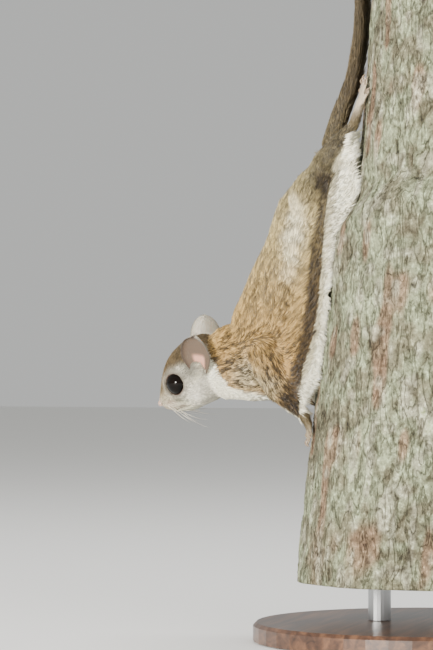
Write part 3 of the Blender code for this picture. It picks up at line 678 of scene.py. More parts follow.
@dataclass
class Trunk:
    """The cut length of trunk: bark, lichen flakes and sawn ends."""

    top: float = 323.0
    bottom: float = 26.0
    axis_x: float = 72.4
    axis_z: float = 278.5
    lean: float = 0.0874
    radius_top: float = 50.0
    radius_step: float = 58.5
    radius_foot: float = 62.0
    step: tuple[float, float] = (167.0, 185.0)
    step_wave: tuple[float, float] = (14.0, 9.0)
    step_turn: float = math.radians(196.0)
    furrow: float = 1.5
    plates: int = 11
    sides: int = 396
    rows: int = 250
    flakes: int = 2400
    flake_rise: float = 0.05      # mm that a flake may stand past the full radius
    crack_depth: float = 0.6      # mm
    line_depth: float = 0.25
    plate_depth: float = 0.7
    scab_depth: float = 0.4
    pattern_radius: float = 56.0  # of the upright tube that carries the bark's pattern

    def axis(self, z: Any) -> Any:
        """X of the trunk's leaning axis at a height."""
        return self.axis_x - self.lean * (self.axis_z - z)

    def radius(self, turn: Array, z: Array) -> Array:
        """Radius before the bark's furrows, with the swollen foot under its slanting step."""
        around = turn - self.step_turn
        shift = self.step_wave[0] * np.sin(around) + self.step_wave[1] * np.sin(2 * around)
        low, high = self.step[0] + shift, self.step[1] + shift
        rise = (z - self.bottom) / (low - self.bottom)
        swell = self.radius_foot + (self.radius_step - self.radius_foot) * rise
        f = np.clip((z - low) / (high - low), 0.0, 1.0)
        return swell + (self.radius_top - swell) * f * f * (3 - 2 * f)

    def relief(self, turn: Array, z: Array) -> Array:
        """Depth of the broad furrows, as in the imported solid."""
        drift = 0.5 * np.sin(z * 0.031 + 1.3) + 0.35 * np.sin(z * 0.083)
        ridge = np.sin(self.plates * turn + drift * 2.4)
        cross = np.sin(z * 0.19 + 3.1 * np.sin(5 * turn + 0.4))
        knot = np.sin(7 * turn - z * 0.057 + 2.0)
        return self.furrow * (0.34 + 0.30 * ridge + 0.22 * cross * np.abs(ridge) + 0.12 * knot)

    def face_x(self, y: Any, z: Any) -> Array:
        """X of the trunk's face towards the animal, at its full radius."""
        y, z = np.atleast_1d(np.asarray(y, float)), np.atleast_1d(np.asarray(z, float))
        reach = np.full(y.shape, self.radius_top)
        for _ in range(6):
            turn = np.arctan2(y, -reach) % (2 * math.pi)
            reach = np.sqrt(np.maximum(self.radius(turn, z) ** 2 - y * y, 0.0))
        return self.axis(z) - reach

    def clearance(self, points: Array) -> Array:
        """Distance of points outside the full trunk, measured level; negative inside it."""
        across, z = points[:, 0] - self.axis(points[:, 2]), points[:, 2]
        turn = np.arctan2(points[:, 1], across) % (2 * math.pi)
        return np.hypot(across, points[:, 1]) - self.radius(turn, np.clip(z, self.bottom, self.top))

    def bark(self) -> bpy.types.Object:
        """The bark's skin as one fine closed grid, coloured by cracks, plates and patches."""
        turns = circle(self.sides)
        heights = np.linspace(self.bottom, self.top, self.rows)
        turn, z = (a.ravel() for a in np.meshgrid(turns, heights))
        wide = self.radius(turn, z)
        flat = np.stack([np.cos(turn) * self.pattern_radius, np.sin(turn) * self.pattern_radius, z], axis=1)
        drift = (soft_noise(flat, 26.0, 1) - 0.5) * 16
        tall = flat * (1, 1, 0.3) + np.stack([drift, drift, 0 * drift], axis=1)
        crack = np.exp(-((soft_noise(tall, 5.0, 2) - 0.5) / 0.06) ** 2)
        crack *= ramp(0.3, 0.65, soft_noise(flat, 12.0, 3))
        line = np.exp(-((soft_noise(tall * (1, 1, 1.5), 2.8, 4) - 0.5) / 0.08) ** 2)
        plate = soft_noise(flat * (1, 1, 0.5), 4.0, 5)
        scab = soft_noise(flat * (1, 1, 0.8), 1.8, 6)
        depth = (self.relief(turn, z) + self.crack_depth * crack + self.line_depth * line
                 + self.plate_depth * (0.5 - plate) + self.scab_depth * (0.5 - scab))
        radius = wide - np.maximum(depth, 0.02)
        points = np.stack([self.axis(z) + radius * np.cos(turn), radius * np.sin(turn), z], axis=1)
        made = closed_tube("trunk_bark", points.reshape(self.rows, self.sides, 3))
        lichen = ramp(0.36, 0.62, soft_noise(flat, 12.0, 7) * 0.6 + soft_noise(flat, 4.0, 8) * 0.4)
        pink = ramp(0.64, 0.8, soft_noise(flat * (1, 1, 0.3), 6.5, 9))
        pale = ramp(0.55, 0.8, soft_noise(flat * (1, 1, 0.6), 4.0, 10))
        tint = blended(rgb("#8b8a76"), "#a6b096", lichen)
        tint = blended(tint, "#9a7a66", 0.75 * pink)
        tint = blended(tint, "#d2d3c2", 0.6 * pale)
        dark = np.clip(0.6 * crack + 0.3 * line + 0.25 * ramp(0.5, 0.25, plate), 0, 0.8)
        paint(made, COAT_COLOURS, blended(tint, "#453c30", dark))
        made.data.materials.append(BarkFinish().material())
        centre = (self.axis(self.top) + SHIFT[0]) * MM
        made.data.materials.append(EndGrainFinish(centre=(centre, 0.0)).material())
        for end in made.data.polygons[-2:]:
            end.material_index = 1
            end.use_smooth = False
        return made

    def flake_tree(self) -> bpy.types.NodeTree:
        """Geometry Nodes that strew thin irregular lichen flakes over the bark."""
        tree = bpy.data.node_groups.new("lichen_flakes", "GeometryNodeTree")
        given = group_inputs(tree, [
            ("Geometry", "Geometry", None), ("Density", "Float", 30000.0),
            ("Flake Radius", "Float", 1.1 * MM), ("Flake Height", "Float", 0.35 * MM),
            ("Seed", "Int", SEED), ("Finish", "Material", None)])
        spots = add_node(tree, "GeometryNodeDistributePointsOnFaces", {
            "Mesh": given["Geometry"], "Density": given["Density"], "Seed": given["Seed"]})
        flake = add_node(tree, "GeometryNodeMeshCylinder", {
            "Vertices": 7, "Radius": given["Flake Radius"], "Depth": given["Flake Height"]})
        size = add_node(tree, "FunctionNodeRandomValue", {
            0: (0.45, 0.4, 0.5), 1: (1.5, 1.3, 1.2), "Seed": 7}, data_type="FLOAT_VECTOR")
        spin = add_node(tree, "FunctionNodeRandomValue", {0: (0, 0, 0), 1: (0.2, 0.2, 6.28), "Seed": 3},
                        data_type="FLOAT_VECTOR")
        turned = add_node(tree, "FunctionNodeRotateRotation", {
            "Rotation": spots.outputs["Rotation"], "Rotate By": spin.outputs[0]}, rotation_space="LOCAL")
        strewn = add_node(tree, "GeometryNodeInstanceOnPoints", {
            "Points": spots.outputs["Points"], "Instance": flake.outputs["Mesh"],
            "Rotation": turned.outputs[0], "Scale": size.outputs[0]})
        real = add_node(tree, "GeometryNodeRealizeInstances", {0: strewn.outputs[0]})
        dressed = add_node(tree, "GeometryNodeSetMaterial", {
            "Geometry": real.outputs[0], "Material": given["Finish"]})
        add_node(tree, "NodeGroupOutput", {"Geometry": dressed.outputs[0]})
        return tree

    def lichen(self, bark: bpy.types.Object) -> bpy.types.Object:
        """Thin flakes of lichen that sit on the bark, as one plain mesh."""
        host = link_new("lichen_host", bark.data.copy())
        area = 2 * math.pi * self.radius_step * (self.top - self.bottom) * MM * MM
        made = grown(host, self.flake_tree(), {
            "Density": self.flakes / area, "Finish": BarkFinish().material()}, "lichen_flakes")
        places = places_of(made.data)
        over = self.clearance(places) - self.flake_rise
        inside = -np.maximum(over, 0.0)
        turn = np.arctan2(places[:, 1], places[:, 0] - self.axis(places[:, 2]))
        places[:, 0] += inside * np.cos(turn)
        places[:, 1] += inside * np.sin(turn)
        places[:, 2] = np.clip(places[:, 2], self.bottom + 0.1, self.top - 0.1)
        move_vertices(made.data, places)
        paint(made, COAT_COLOURS, blended(rgb("#8f9a80"), "#c3c8b2", soft_noise(places, 6.0, 12)))
        return made

    def build(self) -> None:
        """Make and dress the trunk's pieces."""
        bark = self.bark()
        flakes = self.lichen(bark)
        finish_piece(bark, ["trunk_log"])
        finish_piece(flakes)


# The animal's own measures


class Side(Enum):
    """The animal's left or right."""

    LEFT = -1.0
    RIGHT = 1.0


HEAD_PITCH = math.radians(36.4)
HEAD_ROLL = math.radians(10.0)
NOSE_TIP = np.array([-76.2, 0.0, 101.6])
FORWARD = np.array([-math.cos(HEAD_PITCH), 0.0, -math.sin(HEAD_PITCH)])
BODY_LEFT = np.array([0.0, -1.0, 0.0])
LEVEL_UP = np.array([-math.sin(HEAD_PITCH), 0.0, math.cos(HEAD_PITCH)])     # before the head's roll
LEFTWARD = BODY_LEFT * math.cos(HEAD_ROLL) - LEVEL_UP * math.sin(HEAD_ROLL)
UPWARD = LEVEL_UP * math.cos(HEAD_ROLL) + BODY_LEFT * math.sin(HEAD_ROLL)
HEAD = [  # back from the nose, crown, chin, half width
    (0.9, 1.5, -3.4, 2.4), (3.8, 4.4, -7.0, 4.9), (7.0, 7.4, -9.3, 6.4), (11.4, 10.8, -12.0, 8.3),
    (15.4, 13.4, -13.1, 10.2), (19.5, 14.9, -14.0, 12.0), (24.0, 15.5, -15.0, 13.0),
    (29.0, 15.2, -15.6, 13.2), (34.0, 13.6, -14.6, 12.4), (38.0, 10.5, -12.0, 10.2)]
EYE_PLACE = (14.8, 2.0, 6.9)
EYE_RADIUS = 5.4
JAW_CREASE = (-45.0, 105.0)   # x and z, where the jaw meets the throat
JAW_SPREAD = 30.0             # square mm, how soon the hair is long again beside the crease
LID_OPENING = 4.9
MIDDLE_HEIGHT = 150.0         # mm, between the forelimbs and the hind limbs
SPINE = [  # x, y, z from neck to tail
    (-54.0, 0.0, 115.5), (-45.0, 0.0, 118.7), (-31.6, 0.0, 123.8), (-23.5, 0.0, 139.0),
    (-18.5, 0.0, 156.0), (-14.0, 0.0, 169.0), (-8.5, 0.0, 182.3), (-4.0, 0.0, 191.9),
    (0.0, 0.0, 201.5), (1.2, 0.0, 212.6)]
# The left limbs and the left membrane's free edge and root: x, y, z.
ARM = [(-26.5, -11.5, 126.0), (-18.0, -18.0, 110.5), (-12.2, -20.3, 104.4), (-6.3, -21.3, 98.6),
       (-2.0, -21.5, 92.0), (2.0, -22.0, 86.0)]
LEG = [(-6.0, -10.0, 189.0), (3.5, -21.5, 203.0), (8.6, -20.6, 211.0), (15.6, -20.2, 219.5),
       (19.0, -21.0, 230.0), (19.5, -21.0, 242.0)]
EDGE = [(-6.4, -21.4, 99.4), (-4.4, -25.2, 114.0), (1.6, -27.2, 132.0), (4.4, -27.6, 152.0),
        (5.6, -26.8, 171.0), (7.4, -25.0, 193.0), (13.6, -21.4, 216.0)]
ROOT = [(-20.0, -15.0, 113.0), (-17.5, -13.5, 128.0), (-13.0, -13.0, 144.0), (-8.5, -12.5, 160.0),
        (-4.0, -12.5, 174.0), (-0.5, -11.0, 186.0), (3.0, -12.0, 196.0)]
# The left toes: y and z of the knuckle, y and z of the tip.
FORE_TOES = [(-23.8, 94.2, -27.4, 89.6), (-22.3, 93.6, -23.8, 86.4),
             (-20.3, 93.6, -19.6, 86.2), (-18.6, 94.2, -15.6, 89.2)]
HIND_TOES = [(-23.8, 231.5, -27.6, 236.2), (-22.6, 234.0, -24.6, 240.6), (-20.8, 234.6, -21.2, 242.0),
             (-18.8, 234.2, -17.6, 241.0), (-17.2, 232.0, -14.4, 237.2)]
TAIL = [  # x, z, half thickness, half width of the coat's outline
    (1.8, 213.2, 4.6, 6.6), (7.2, 228.5, 5.2, 7.4), (12.0, 240.8, 4.6, 9.0), (15.2, 254.8, 3.7, 11.2),
    (16.6, 266.0, 3.4, 12.4), (17.3, 278.5, 3.3, 12.8), (18.4, 292.0, 3.0, 12.4), (19.7, 305.0, 2.4, 9.0),
    (20.6, 313.0, 1.2, 3.4)]
FORE_LIFT, HIND_LIFT = 2.5, -3.0     # mm, the right feet against the left ones


def head_place(back: Any, up: Any, out: Any, side: Side = Side.LEFT) -> Array:
    """Place in mm from the head's own sizes: back from the nose, up, and out to a side."""
    b, u, o = (np.asarray(v, float)[..., None] for v in (back, up, out))
    return NOSE_TIP - FORWARD * b + UPWARD * u - LEFTWARD * o * side.value


def head_sizes(points: Array) -> tuple[Array, Array, Array]:
    """Back from the nose, up, and out to the left of places, in mm."""
    off = points - NOSE_TIP
    return off @ -FORWARD, off @ UPWARD, off @ LEFTWARD


def eye_centre(side: Side) -> Array:
    """Centre of an eyeball in mm."""
    return head_place(*EYE_PLACE, side)


def eye_axis(side: Side) -> Array:
    """Direction that an eye looks."""
    return unit(FORWARD * 0.42 - LEFTWARD * side.value * 0.88 + UPWARD * 0.20)


def eye_gap(points: Array) -> Array:
    """Distance in mm from each place to the nearer eyeball's centre."""
    return np.minimum(*(np.linalg.norm(points - eye_centre(side), axis=1) for side in Side))


def mirrored_left(points: Array) -> Array:
    """Places with those on the right mirrored to the left."""
    return np.stack([points[:, 0], -np.abs(points[:, 1]), points[:, 2]], axis=1)


def beyond_edge(points: Array) -> Array:
    """How far places lie past the membrane's edge towards the trunk, in mm."""
    edge = np.array(EDGE)
    return points[:, 0] - np.interp(points[:, 2], edge[:, 2], edge[:, 0])


def head_surface(station: Array, turn: Array) -> Array:
    """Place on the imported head's outline at a station and a turn in degrees, 0 left and 90 the crown."""
    back, crown, chin, width = spline(HEAD, station).T
    middle, rise, angle = (crown + chin) / 2, (crown - chin) / 2, np.radians(turn)
    return (NOSE_TIP - FORWARD * back[:, None] + UPWARD * (middle + rise * np.sin(angle))[:, None]
            + LEFTWARD * (width * np.cos(angle))[:, None])


# Markings


@dataclass(frozen=True)
class Mark:
    """A soft patch of colour on both sides of the animal; most are markings of the coat, and some are
    painted highlight and painted shade.
    """

    place: tuple[float, float, float]
    reach: float
    colour: str
    strength: float = 1.0
    ticking: float = 1.0


@dataclass
class Markings:
    """The coat's colours, with painted highlight along the flank and painted shade at the thigh, placed in
    mm on the body, alike on both sides.
    """

    back_line: tuple[tuple[float, str], ...] = (
        (112.0, "#b38d52"), (124.0, "#b79355"), (138.0, "#bc9c60"), (152.0, "#c0a46a"),
        (168.0, "#c5af78"), (184.0, "#c5b380"), (197.0, "#aea176"), (212.0, "#7d7255"))
    marks: tuple[Mark, ...] = (
        # painted shade: a dark patch where the thigh's fur lies in shade
        Mark((3.0, -20.0, 196.5), 5.5, "#453e2c", 0.95),
        Mark((-4.0, -17.0, 190.0), 4.0, "#776a4c", 0.6),
        # painted highlight: these pale marks along the flank's ridge stand in for light on the fur, so they
        # carry almost no dark ticking
        Mark((-10.0, -15.0, 187.0), 3.8, "#e2d8b6", 0.9, 0.05),
        Mark((-11.0, -15.0, 179.0), 4.0, "#e9e0bf", 1.0, 0.05),
        Mark((-12.0, -15.0, 171.0), 4.0, "#e9e0bf", 1.0, 0.05),
        Mark((-13.0, -15.5, 163.0), 3.8, "#e2d7b2", 0.95, 0.05),
        Mark((-14.0, -16.0, 155.0), 3.4, "#dccba2", 0.8, 0.2),
        Mark((-32.0, -17.0, 112.0), 8.5, "#c9bd9a", 0.8),
        Mark((-21.0, -20.0, 110.0), 6.5, "#b4a885", 0.65),
    )
    throat_line: tuple[tuple[float, float], ...] = (
        (-53.5, 127.0), (-48.0, 118.6), (-44.4, 112.6), (-40.2, 108.7), (-34.8, 107.2), (-24.9, 106.1),
        (-19.8, 104.6), (-14.0, 102.0), (-4.0, 96.0))
    white: str = "#f9f4dd"
    edge: str = "#ddd5b6"
    flank: str = "#3b2e1b"
    band_width: tuple[tuple[float, float], ...] = (
        (100.0, 7.0), (115.0, 7.0), (128.0, 9.0), (150.0, 10.5), (172.0, 10.5), (186.0, 8.5), (200.0, 6.0))
    band_strength: tuple[tuple[float, float], ...] = (
        (96.0, 1.0), (150.0, 1.0), (172.0, 0.9), (190.0, 0.85), (203.0, 0.5), (214.0, 0.3))
    cap_edge: tuple[tuple[float, float], ...] = (
        (0.0, 1.0), (5.0, 2.0), (9.0, 5.2), (14.0, 7.8), (20.0, 7.0), (26.0, 4.6), (34.0, 0.0))
    mouth_line: tuple[tuple[float, float], ...] = ((1.5, -4.6), (5.0, -6.0), (9.5, -6.6))

    def body(self, points: Array) -> tuple[Array, Array]:
        """Colours of the body's coat, with painted highlight along the flank and painted shade at the thigh,
        and how much dark ticking it carries.

        Args:
            points: places on the skin in mm.

        Returns:
            Linear colours, and ticking from 0 to 1.
        """
        mirrored = mirrored_left(points)
        heights = [h for h, _ in self.back_line]
        shades = np.array([rgb(c) for _, c in self.back_line])
        tint = np.stack([np.interp(points[:, 2], heights, shades[:, c]) for c in range(3)], axis=1)
        ticking = 0.5 + 0.5 * ramp(140.0, 122.0, points[:, 2])
        for mark in self.marks:
            near = np.exp(-(np.linalg.norm(mirrored - mark.place, axis=1) / mark.reach) ** 2)
            share = np.clip(near * 1.6, 0, 1) * mark.strength
            tint = blended(tint, mark.colour, share)
            ticking = ticking + (mark.ticking - ticking) * share
        white = self.underside(points, mirrored)
        edge_gap, _ = path_gap(mirrored, spline(EDGE, np.linspace(0, len(EDGE) - 1, 40)))
        uneven = edge_gap + 3.2 * (soft_noise(points, 3.2, 37) - 0.5)
        broad = read_table(self.band_width, points[:, 2]) + uneven - edge_gap
        band = np.maximum(ramp(12.0, 6.5, uneven), ramp(-0.5, 2.5, beyond_edge(points) + broad))
        band = band * read_table(self.band_strength, points[:, 2])
        rim = ramp(1.9, 0.9, edge_gap)
        tint = blended(tint, self.flank, 0.9 * band)
        tint = blended(tint, self.edge, rim)
        tint = blended(tint, self.white, white)
        return tint, np.maximum(ticking, band) * (1 - white) * (1 - 0.8 * rim)

    def underside(self, points: Array, mirrored: Array) -> Array:
        """How white the coat is: the throat, the belly and the membrane's inner face."""
        x, height = points[:, 0], points[:, 2]
        ragged = (soft_noise(points, 2.2, 31) - 0.5) * 1.6
        throat = ramp(0.9, -0.9, height - read_table(self.throat_line, x) + ragged) * ramp(2.0, -6.0, x)
        rows = np.linspace(0, len(EDGE) - 1, 40)
        edge, root = spline(EDGE, rows), spline(ROOT, rows)
        share = np.clip((-mirrored[:, 1] - 13.0) / 13.0, 0, 1)
        middle = (np.interp(height, root[:, 2], root[:, 0]) * (1 - share)
                  + np.interp(height, edge[:, 2], edge[:, 0]) * share
                  + 3.4 * np.sqrt(np.maximum(np.sin(math.pi * (0.35 + 0.65 * share)), 0.0))
                  + 1.3 * np.maximum(height - 212.0, 0.0))
        belly = ramp(0.1, 1.4, x - middle + ragged * 0.4) * ramp(97.0, 103.0, height)
        return np.clip(np.maximum(throat, belly), 0, 1)

    def head(self, points: Array) -> tuple[Array, Array]:
        """Colours of the head's coat and how much dark ticking it carries."""
        back, up, left = head_sizes(points)
        out = np.abs(left)
        cap = ramp(-1.0, 3.0, up - read_table(self.cap_edge, back))
        eye = np.linalg.norm(np.stack([back - EYE_PLACE[0], up - EYE_PLACE[1], out - 9.5], axis=1), axis=1)
        behind = np.hypot((back - 22.5) / 5.0, (up - 3.5) / 4.0)
        before_ear = np.hypot((back - 26.5) / 3.2, (up + 1.0) / 3.5)
        mouth = np.abs(up - read_table(self.mouth_line, back))
        tint = rgb("#e2dec6")
        for shade, share in (
                ("#c9c0aa", ramp(-5.0, 1.0, up) * ramp(30.0, 12.0, back)),
                ("#b3a68c", 0.7 * ramp(16.0, 4.0, back) * ramp(-7.0, 0.0, up)),
                ("#826d49", 0.97 * cap),
                ("#8f7b57", 0.85 * ramp(11.0, 3.0, back) * ramp(1.0, 3.4, up)),
                ("#cfc9b6", 0.75 * ramp(9.0, 6.2, eye) * (1 - 0.85 * cap)),
                ("#8f8b7d", 0.8 * ramp(1.2, 0.2, behind) * ramp(5.0, 9.0, out)),
                ("#b9b4a4", 0.5 * ramp(1.1, 0.2, before_ear) * ramp(6.0, 10.0, out)),
                ("#efe9d9", 0.8 * ramp(0.0, -4.0, up) * ramp(10.0, 16.0, back)),
                ("#c2ab97", 0.6 * ramp(3.4, 1.2, np.hypot(back - 5.2, (up + 3.6) / 0.9))),
                ("#7a5f4f", 0.75 * ramp(0.75, 0.2, mouth) * ramp(11.0, 9.0, back)),
                ("#c9b3a2", 0.6 * ramp(3.0, 0.8, back)),
                ("#4a3c30", 0.7 * ramp(7.3, 6.1, eye_gap(points)))):
            tint = blended(tint, shade, share)
        grizzle = soft_noise(points, 1.4, 33) * 0.6 + soft_noise(points, 4.5, 34) * 0.4 - 0.5
        return tint * (1 + 0.5 * grizzle[:, None]), cap * 0.6

    def feet(self, points: Array) -> Array:
        """Colours of the feet: brown-grey at the wrist and heel, paler and pinker at the toes."""
        height = points[:, 2]
        down = ramp(96.0, 89.0, height) * (height < MIDDLE_HEIGHT)
        return blended(rgb("#877756"), "#d6c6ab", 0.35 * down + 0.9 * ramp(222.0, 230.0, height))


# The skin


FLESH = ("head", "neck", "chest", "abdomen",
         "upper_arm_left", "upper_arm_right", "forearm_left", "forearm_right",
         "forefoot_left", "forefoot_right", "thigh_left", "thigh_right", "shin_left", "shin_right",
         "hind_foot_left", "hind_foot_right", "patagium_left", "patagium_right")


@dataclass
class Skin:
    """One closed skin under the coat, in place of every node of flesh."""

    voxel: float = 0.7
    seam_fill: float = 0.3        # mm that each solid swells to close the seams
    over_eye: float = 0.12        # mm that the skin keeps off an eyeball
    thin_share: float = 0.26      # most of a form's thickness that the coat may take
    mouth_depth: float = 0.55     # mm
    lip_rise: float = 0.25
    lead: dict[str, float] = field(default_factory=lambda: {
        "head": 0.75, "neck": 1.5, "chest": 1.8, "abdomen": 1.8, "upper_arm": 1.5, "forearm": 0.9,
        "forefoot": 0.15, "thigh": 1.6, "shin": 0.9, "hind_foot": 0.2, "patagium": 0.8})
    mouth: tuple[tuple[float, float], ...] = (
        (3.3, -46.0), (2.5, -50.0), (1.7, -55.0), (0.9, -63.0), (0.45, -76.0), (0.35, -90.0))

    def joined(self) -> bpy.types.Object:
        """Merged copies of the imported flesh, swollen just enough to close the gaps between them."""
        whole = bmesh.new()
        for node in FLESH:
            part = bmesh.new()
            part.from_mesh(frame["nodes"][node].data)
            bmesh.ops.remove_doubles(part, verts=part.verts, dist=WELD)
            part.normal_update()
            for vert in part.verts:
                vert.co += vert.normal * self.seam_fill * MM
            mesh = mesh_from("part", part)
            whole.from_mesh(mesh)
            bpy.data.meshes.remove(mesh)
        return link_new("squirrel_skin", mesh_from("squirrel_skin", whole))

    def fused(self) -> bpy.types.Object:
        """The flesh as one closed surface, its loose scraps dropped."""
        made = self.joined()
        fuse = made.modifiers.new("fuse", "REMESH")
        fuse.mode = "VOXEL"
        fuse.voxel_size = self.voxel * MM
        made = evaluated_copy(made, "squirrel_skin")
        bm = bmesh.new()
        bm.from_mesh(made.data)
        seen, largest = set(), []
        for start in bm.verts:
            if start in seen:
                continue
            seen.add(start)
            island, stack = [start], [start]
            while stack:
                for edge in stack.pop().link_edges:
                    for other in edge.verts:
                        if other not in seen:
                            seen.add(other)
                            island.append(other)
                            stack.append(other)
            if len(island) > len(largest):
                largest = island
        keep = set(largest)
        bmesh.ops.delete(bm, geom=[v for v in bm.verts if v not in keep], context="VERTS")
        self.refine_face(bm)
        bm.to_mesh(made.data)
        bm.free()
        return made

    def refine_face(self, bm: bmesh.types.BMesh) -> None:
        """Halve the faces of the muzzle and round the eyes, where the mouth line and lids go."""
        bm.edges.ensure_lookup_table()
        middles = np.array([(e.verts[0].co + e.verts[1].co)[:] for e in bm.edges]) / 2 / MM - SHIFT
        back, up, _ = head_sizes(middles)
        wanted = (eye_gap(middles) < 7.5) | ((back < 14.0) & (up < 3.0) & (back > -1.0))
        chosen = [bm.edges[i] for i in np.nonzero(wanted)[0]]
        bmesh.ops.subdivide_edges(bm, edges=chosen, cuts=1, use_grid_fill=True)

    def region(self, points: Array) -> Array:
        """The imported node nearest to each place, without its side."""
        names, spots = [], []
        for node in FLESH:
            mesh = frame["nodes"][node].data
            rows = [p.center[:] for p in mesh.polygons] + [v.co[:] for v in mesh.vertices]
            names += [node.replace("_left", "").replace("_right", "")] * len(rows)
            spots += rows
        return np.array(names)[nearest_rows(spots, (points + SHIFT) * MM)]

    def build(self) -> "Coated":
        """Make the skin and what the coat needs to know about it."""
        made = self.fused()
        mesh = made.data
        points = places_of(mesh)
        pairs = read_rows(mesh.edges, "vertices", 2, np.int64)
        region = self.region(points)
        points = relax(points, pairs, 5)
        normals = self.normals(mesh, points)
        depth = self.depths(mesh, points, normals, region)
        depth = self.near_eye(points, relax(depth[:, None], pairs, 12)[:, 0])
        points = points - normals * depth[:, None]
        points = relax(points, pairs, 2)
        points = self.face(points, self.normals(mesh, points))
        normals = self.normals(mesh, points)
        self.unwrap(made)
        return Coated(made, points, normals, pairs, region)

    def normals(self, mesh: bpy.types.Mesh, points: Array) -> Array:
        """Write the places to the mesh and read its directions back."""
        move_vertices(mesh, points)
        return read_rows(mesh.vertex_normals, "vector", 3)

    def depths(self, mesh: bpy.types.Mesh, points: Array, normals: Array, region: Array) -> Array:
        """How far the skin lies inside the solids: the coat's depth, less where the form is thin."""
        wanted = np.array([self.lead[r] for r in region]) + self.seam_fill
        faces = [p.vertices[:] for p in mesh.polygons]
        tree = BVHTree.FromPolygons(points.tolist(), faces)
        thick = np.full(len(points), 50.0)
        for i, (p, n) in enumerate(zip(points, normals)):
            hit = tree.ray_cast(Vector(p - n * 0.05), Vector(-n), 12.0)
            if hit[0] is not None:
                thick[i] = hit[3]
        return np.minimum(wanted, self.thin_share * thick)

    def near_eye(self, points: Array, depth: Array) -> Array:
        """The skin stays at the solids' surface round the eyes, so that the lids fit them."""
        return depth * (0.12 + 0.88 * ramp(6.3, 10.0, eye_gap(points)))

    def face(self, points: Array, normals: Array) -> Array:
        """Press in the line of the mouth, raise the lips and keep the lids on the eyeballs."""
        station, turn = np.transpose(self.mouth)
        path = np.concatenate([head_surface(station, turn), head_surface(station, 180.0 - turn)[::-1]])
        gap, _ = path_gap(points, path)
        line = np.exp(-(gap / 0.55) ** 2)
        lips = np.exp(-((gap - 1.3) / 0.6) ** 2)
        points = points + normals * (self.lip_rise * lips - self.mouth_depth * line)[:, None]
        hold = EYE_RADIUS + self.over_eye
        for side in Side:
            centre = eye_centre(side)
            off = points - centre
            reach = np.linalg.norm(off, axis=1)
            close = reach < hold
            points[close] = centre + off[close] / reach[close, None] * hold
        return points

    def unwrap(self, made: bpy.types.Object) -> None:
        """Unwrap the skin's own shape as the map that skin and coat share."""
        made.data.uv_layers.new(name=BAKE_MAP)
        view = bpy.context.view_layer
        for other in view.objects:
            other.select_set(False)
        view.objects.active = made
        made.select_set(True)
        bpy.ops.object.mode_set(mode="EDIT")
        bpy.ops.mesh.select_all(action="SELECT")
        bpy.ops.uv.smart_project(angle_limit=math.radians(70), island_margin=0.002)
        bpy.ops.object.mode_set(mode="OBJECT")


def relax(values: Array, pairs: Array, rounds: int) -> Array:
    """Smooth values over a mesh by moving each halfway to the mean of its neighbours.

    Args:
        values: one row for each vertex.
        pairs: the mesh's edges.
        rounds: how many times.

    Returns:
        The smoothed rows.
    """
    count = np.bincount(pairs.ravel(), minlength=len(values))[:, None]
    rows = values.astype(float)
    for _ in range(rounds):
        total = np.zeros_like(rows)
        for c in range(rows.shape[1]):
            total[:, c] = (np.bincount(pairs[:, 0], rows[pairs[:, 1], c], len(rows))
                           + np.bincount(pairs[:, 1], rows[pairs[:, 0], c], len(rows)))
        rows = 0.5 * rows + 0.5 * total / np.maximum(count, 1)
    return rows


@dataclass
class Coated:
    """The finished skin with its places, directions, edges and the region of each vertex."""

    piece: bpy.types.Object
    points: Array
    normals: Array
    pairs: Array
    region: Array


# Tufts


@dataclass
class Tufts:
    """Roots, directions, sizes and colours of many tufts, one row each."""

    root: Array
    up: Array
    lie: Array
    length: Array
    width: Array
    tilt: Array
    bend: Array
    low: Array
    high: Array
    place: Array

    def pick(self, chosen: Array) -> "Tufts":
        """The chosen tufts only."""
        return Tufts(*(getattr(self, name)[chosen] for name in self.__dataclass_fields__))

    def outline(self) -> tuple[Array, Array, Array]:
        """Root, middle and tip of each tuft's own curve."""
        lie = unit(level(self.lie, self.up))
        half = (self.length / 2)[:, None]
        first = lie * np.cos(self.tilt)[:, None] + self.up * np.sin(self.tilt)[:, None]
        second = lie * np.cos(self.bend)[:, None] + self.up * np.sin(self.bend)[:, None]
        start = self.root - self.up * (0.5 * self.width)[:, None]
        middle = start + first * half
        return start, middle, middle + second * half


TUFT_FACES = np.array([(0, 1, 4), (0, 4, 3), (1, 2, 5), (1, 5, 4), (2, 0, 3), (2, 3, 5),
                       (3, 4, 6), (4, 5, 6), (5, 3, 6), (0, 2, 1)])
SPIKE_FACES = np.array([(0, 1, 3), (1, 2, 3), (2, 0, 3), (0, 2, 1)])
TUFT_SPOTS = np.array([  # where a tuft's corners lie on its patch of the map
    (-0.5, 0), (0.5, 0), (0, 0.1), (-0.5, 0.5), (0.5, 0.5), (0, 0.6), (0, 1)])


def clump(tufts: Tufts, share: float, spread: float, rng: np.random.Generator,
          path: tuple[Array, Array, Array]) -> tuple[Array, Array, Array]:
    """Draw the tufts' tips together into soft locks.

    Args:
        tufts: the tufts.
        share: how far a tip moves to its lock's own tip.
        spread: how many tufts there are for each lock.
        rng: random numbers.
        path: root, middle and tip of each tuft.

    Returns:
        The three rows of places, with the middles and tips moved.
    """
    start, middle, tip = path
    leaders = rng.choice(len(start), max(1, int(len(start) / spread)), replace=False)
    nearest = leaders[nearest_rows(start[leaders], start)]
    pull = tip[nearest] - tip
    reach = np.linalg.norm(pull, axis=1, keepdims=True)
    limit = (tufts.length * 0.45)[:, None]
    pull = pull * np.minimum(1.0, limit / np.maximum(reach, TINY)) * share
    return start, middle + pull * 0.35, tip + pull


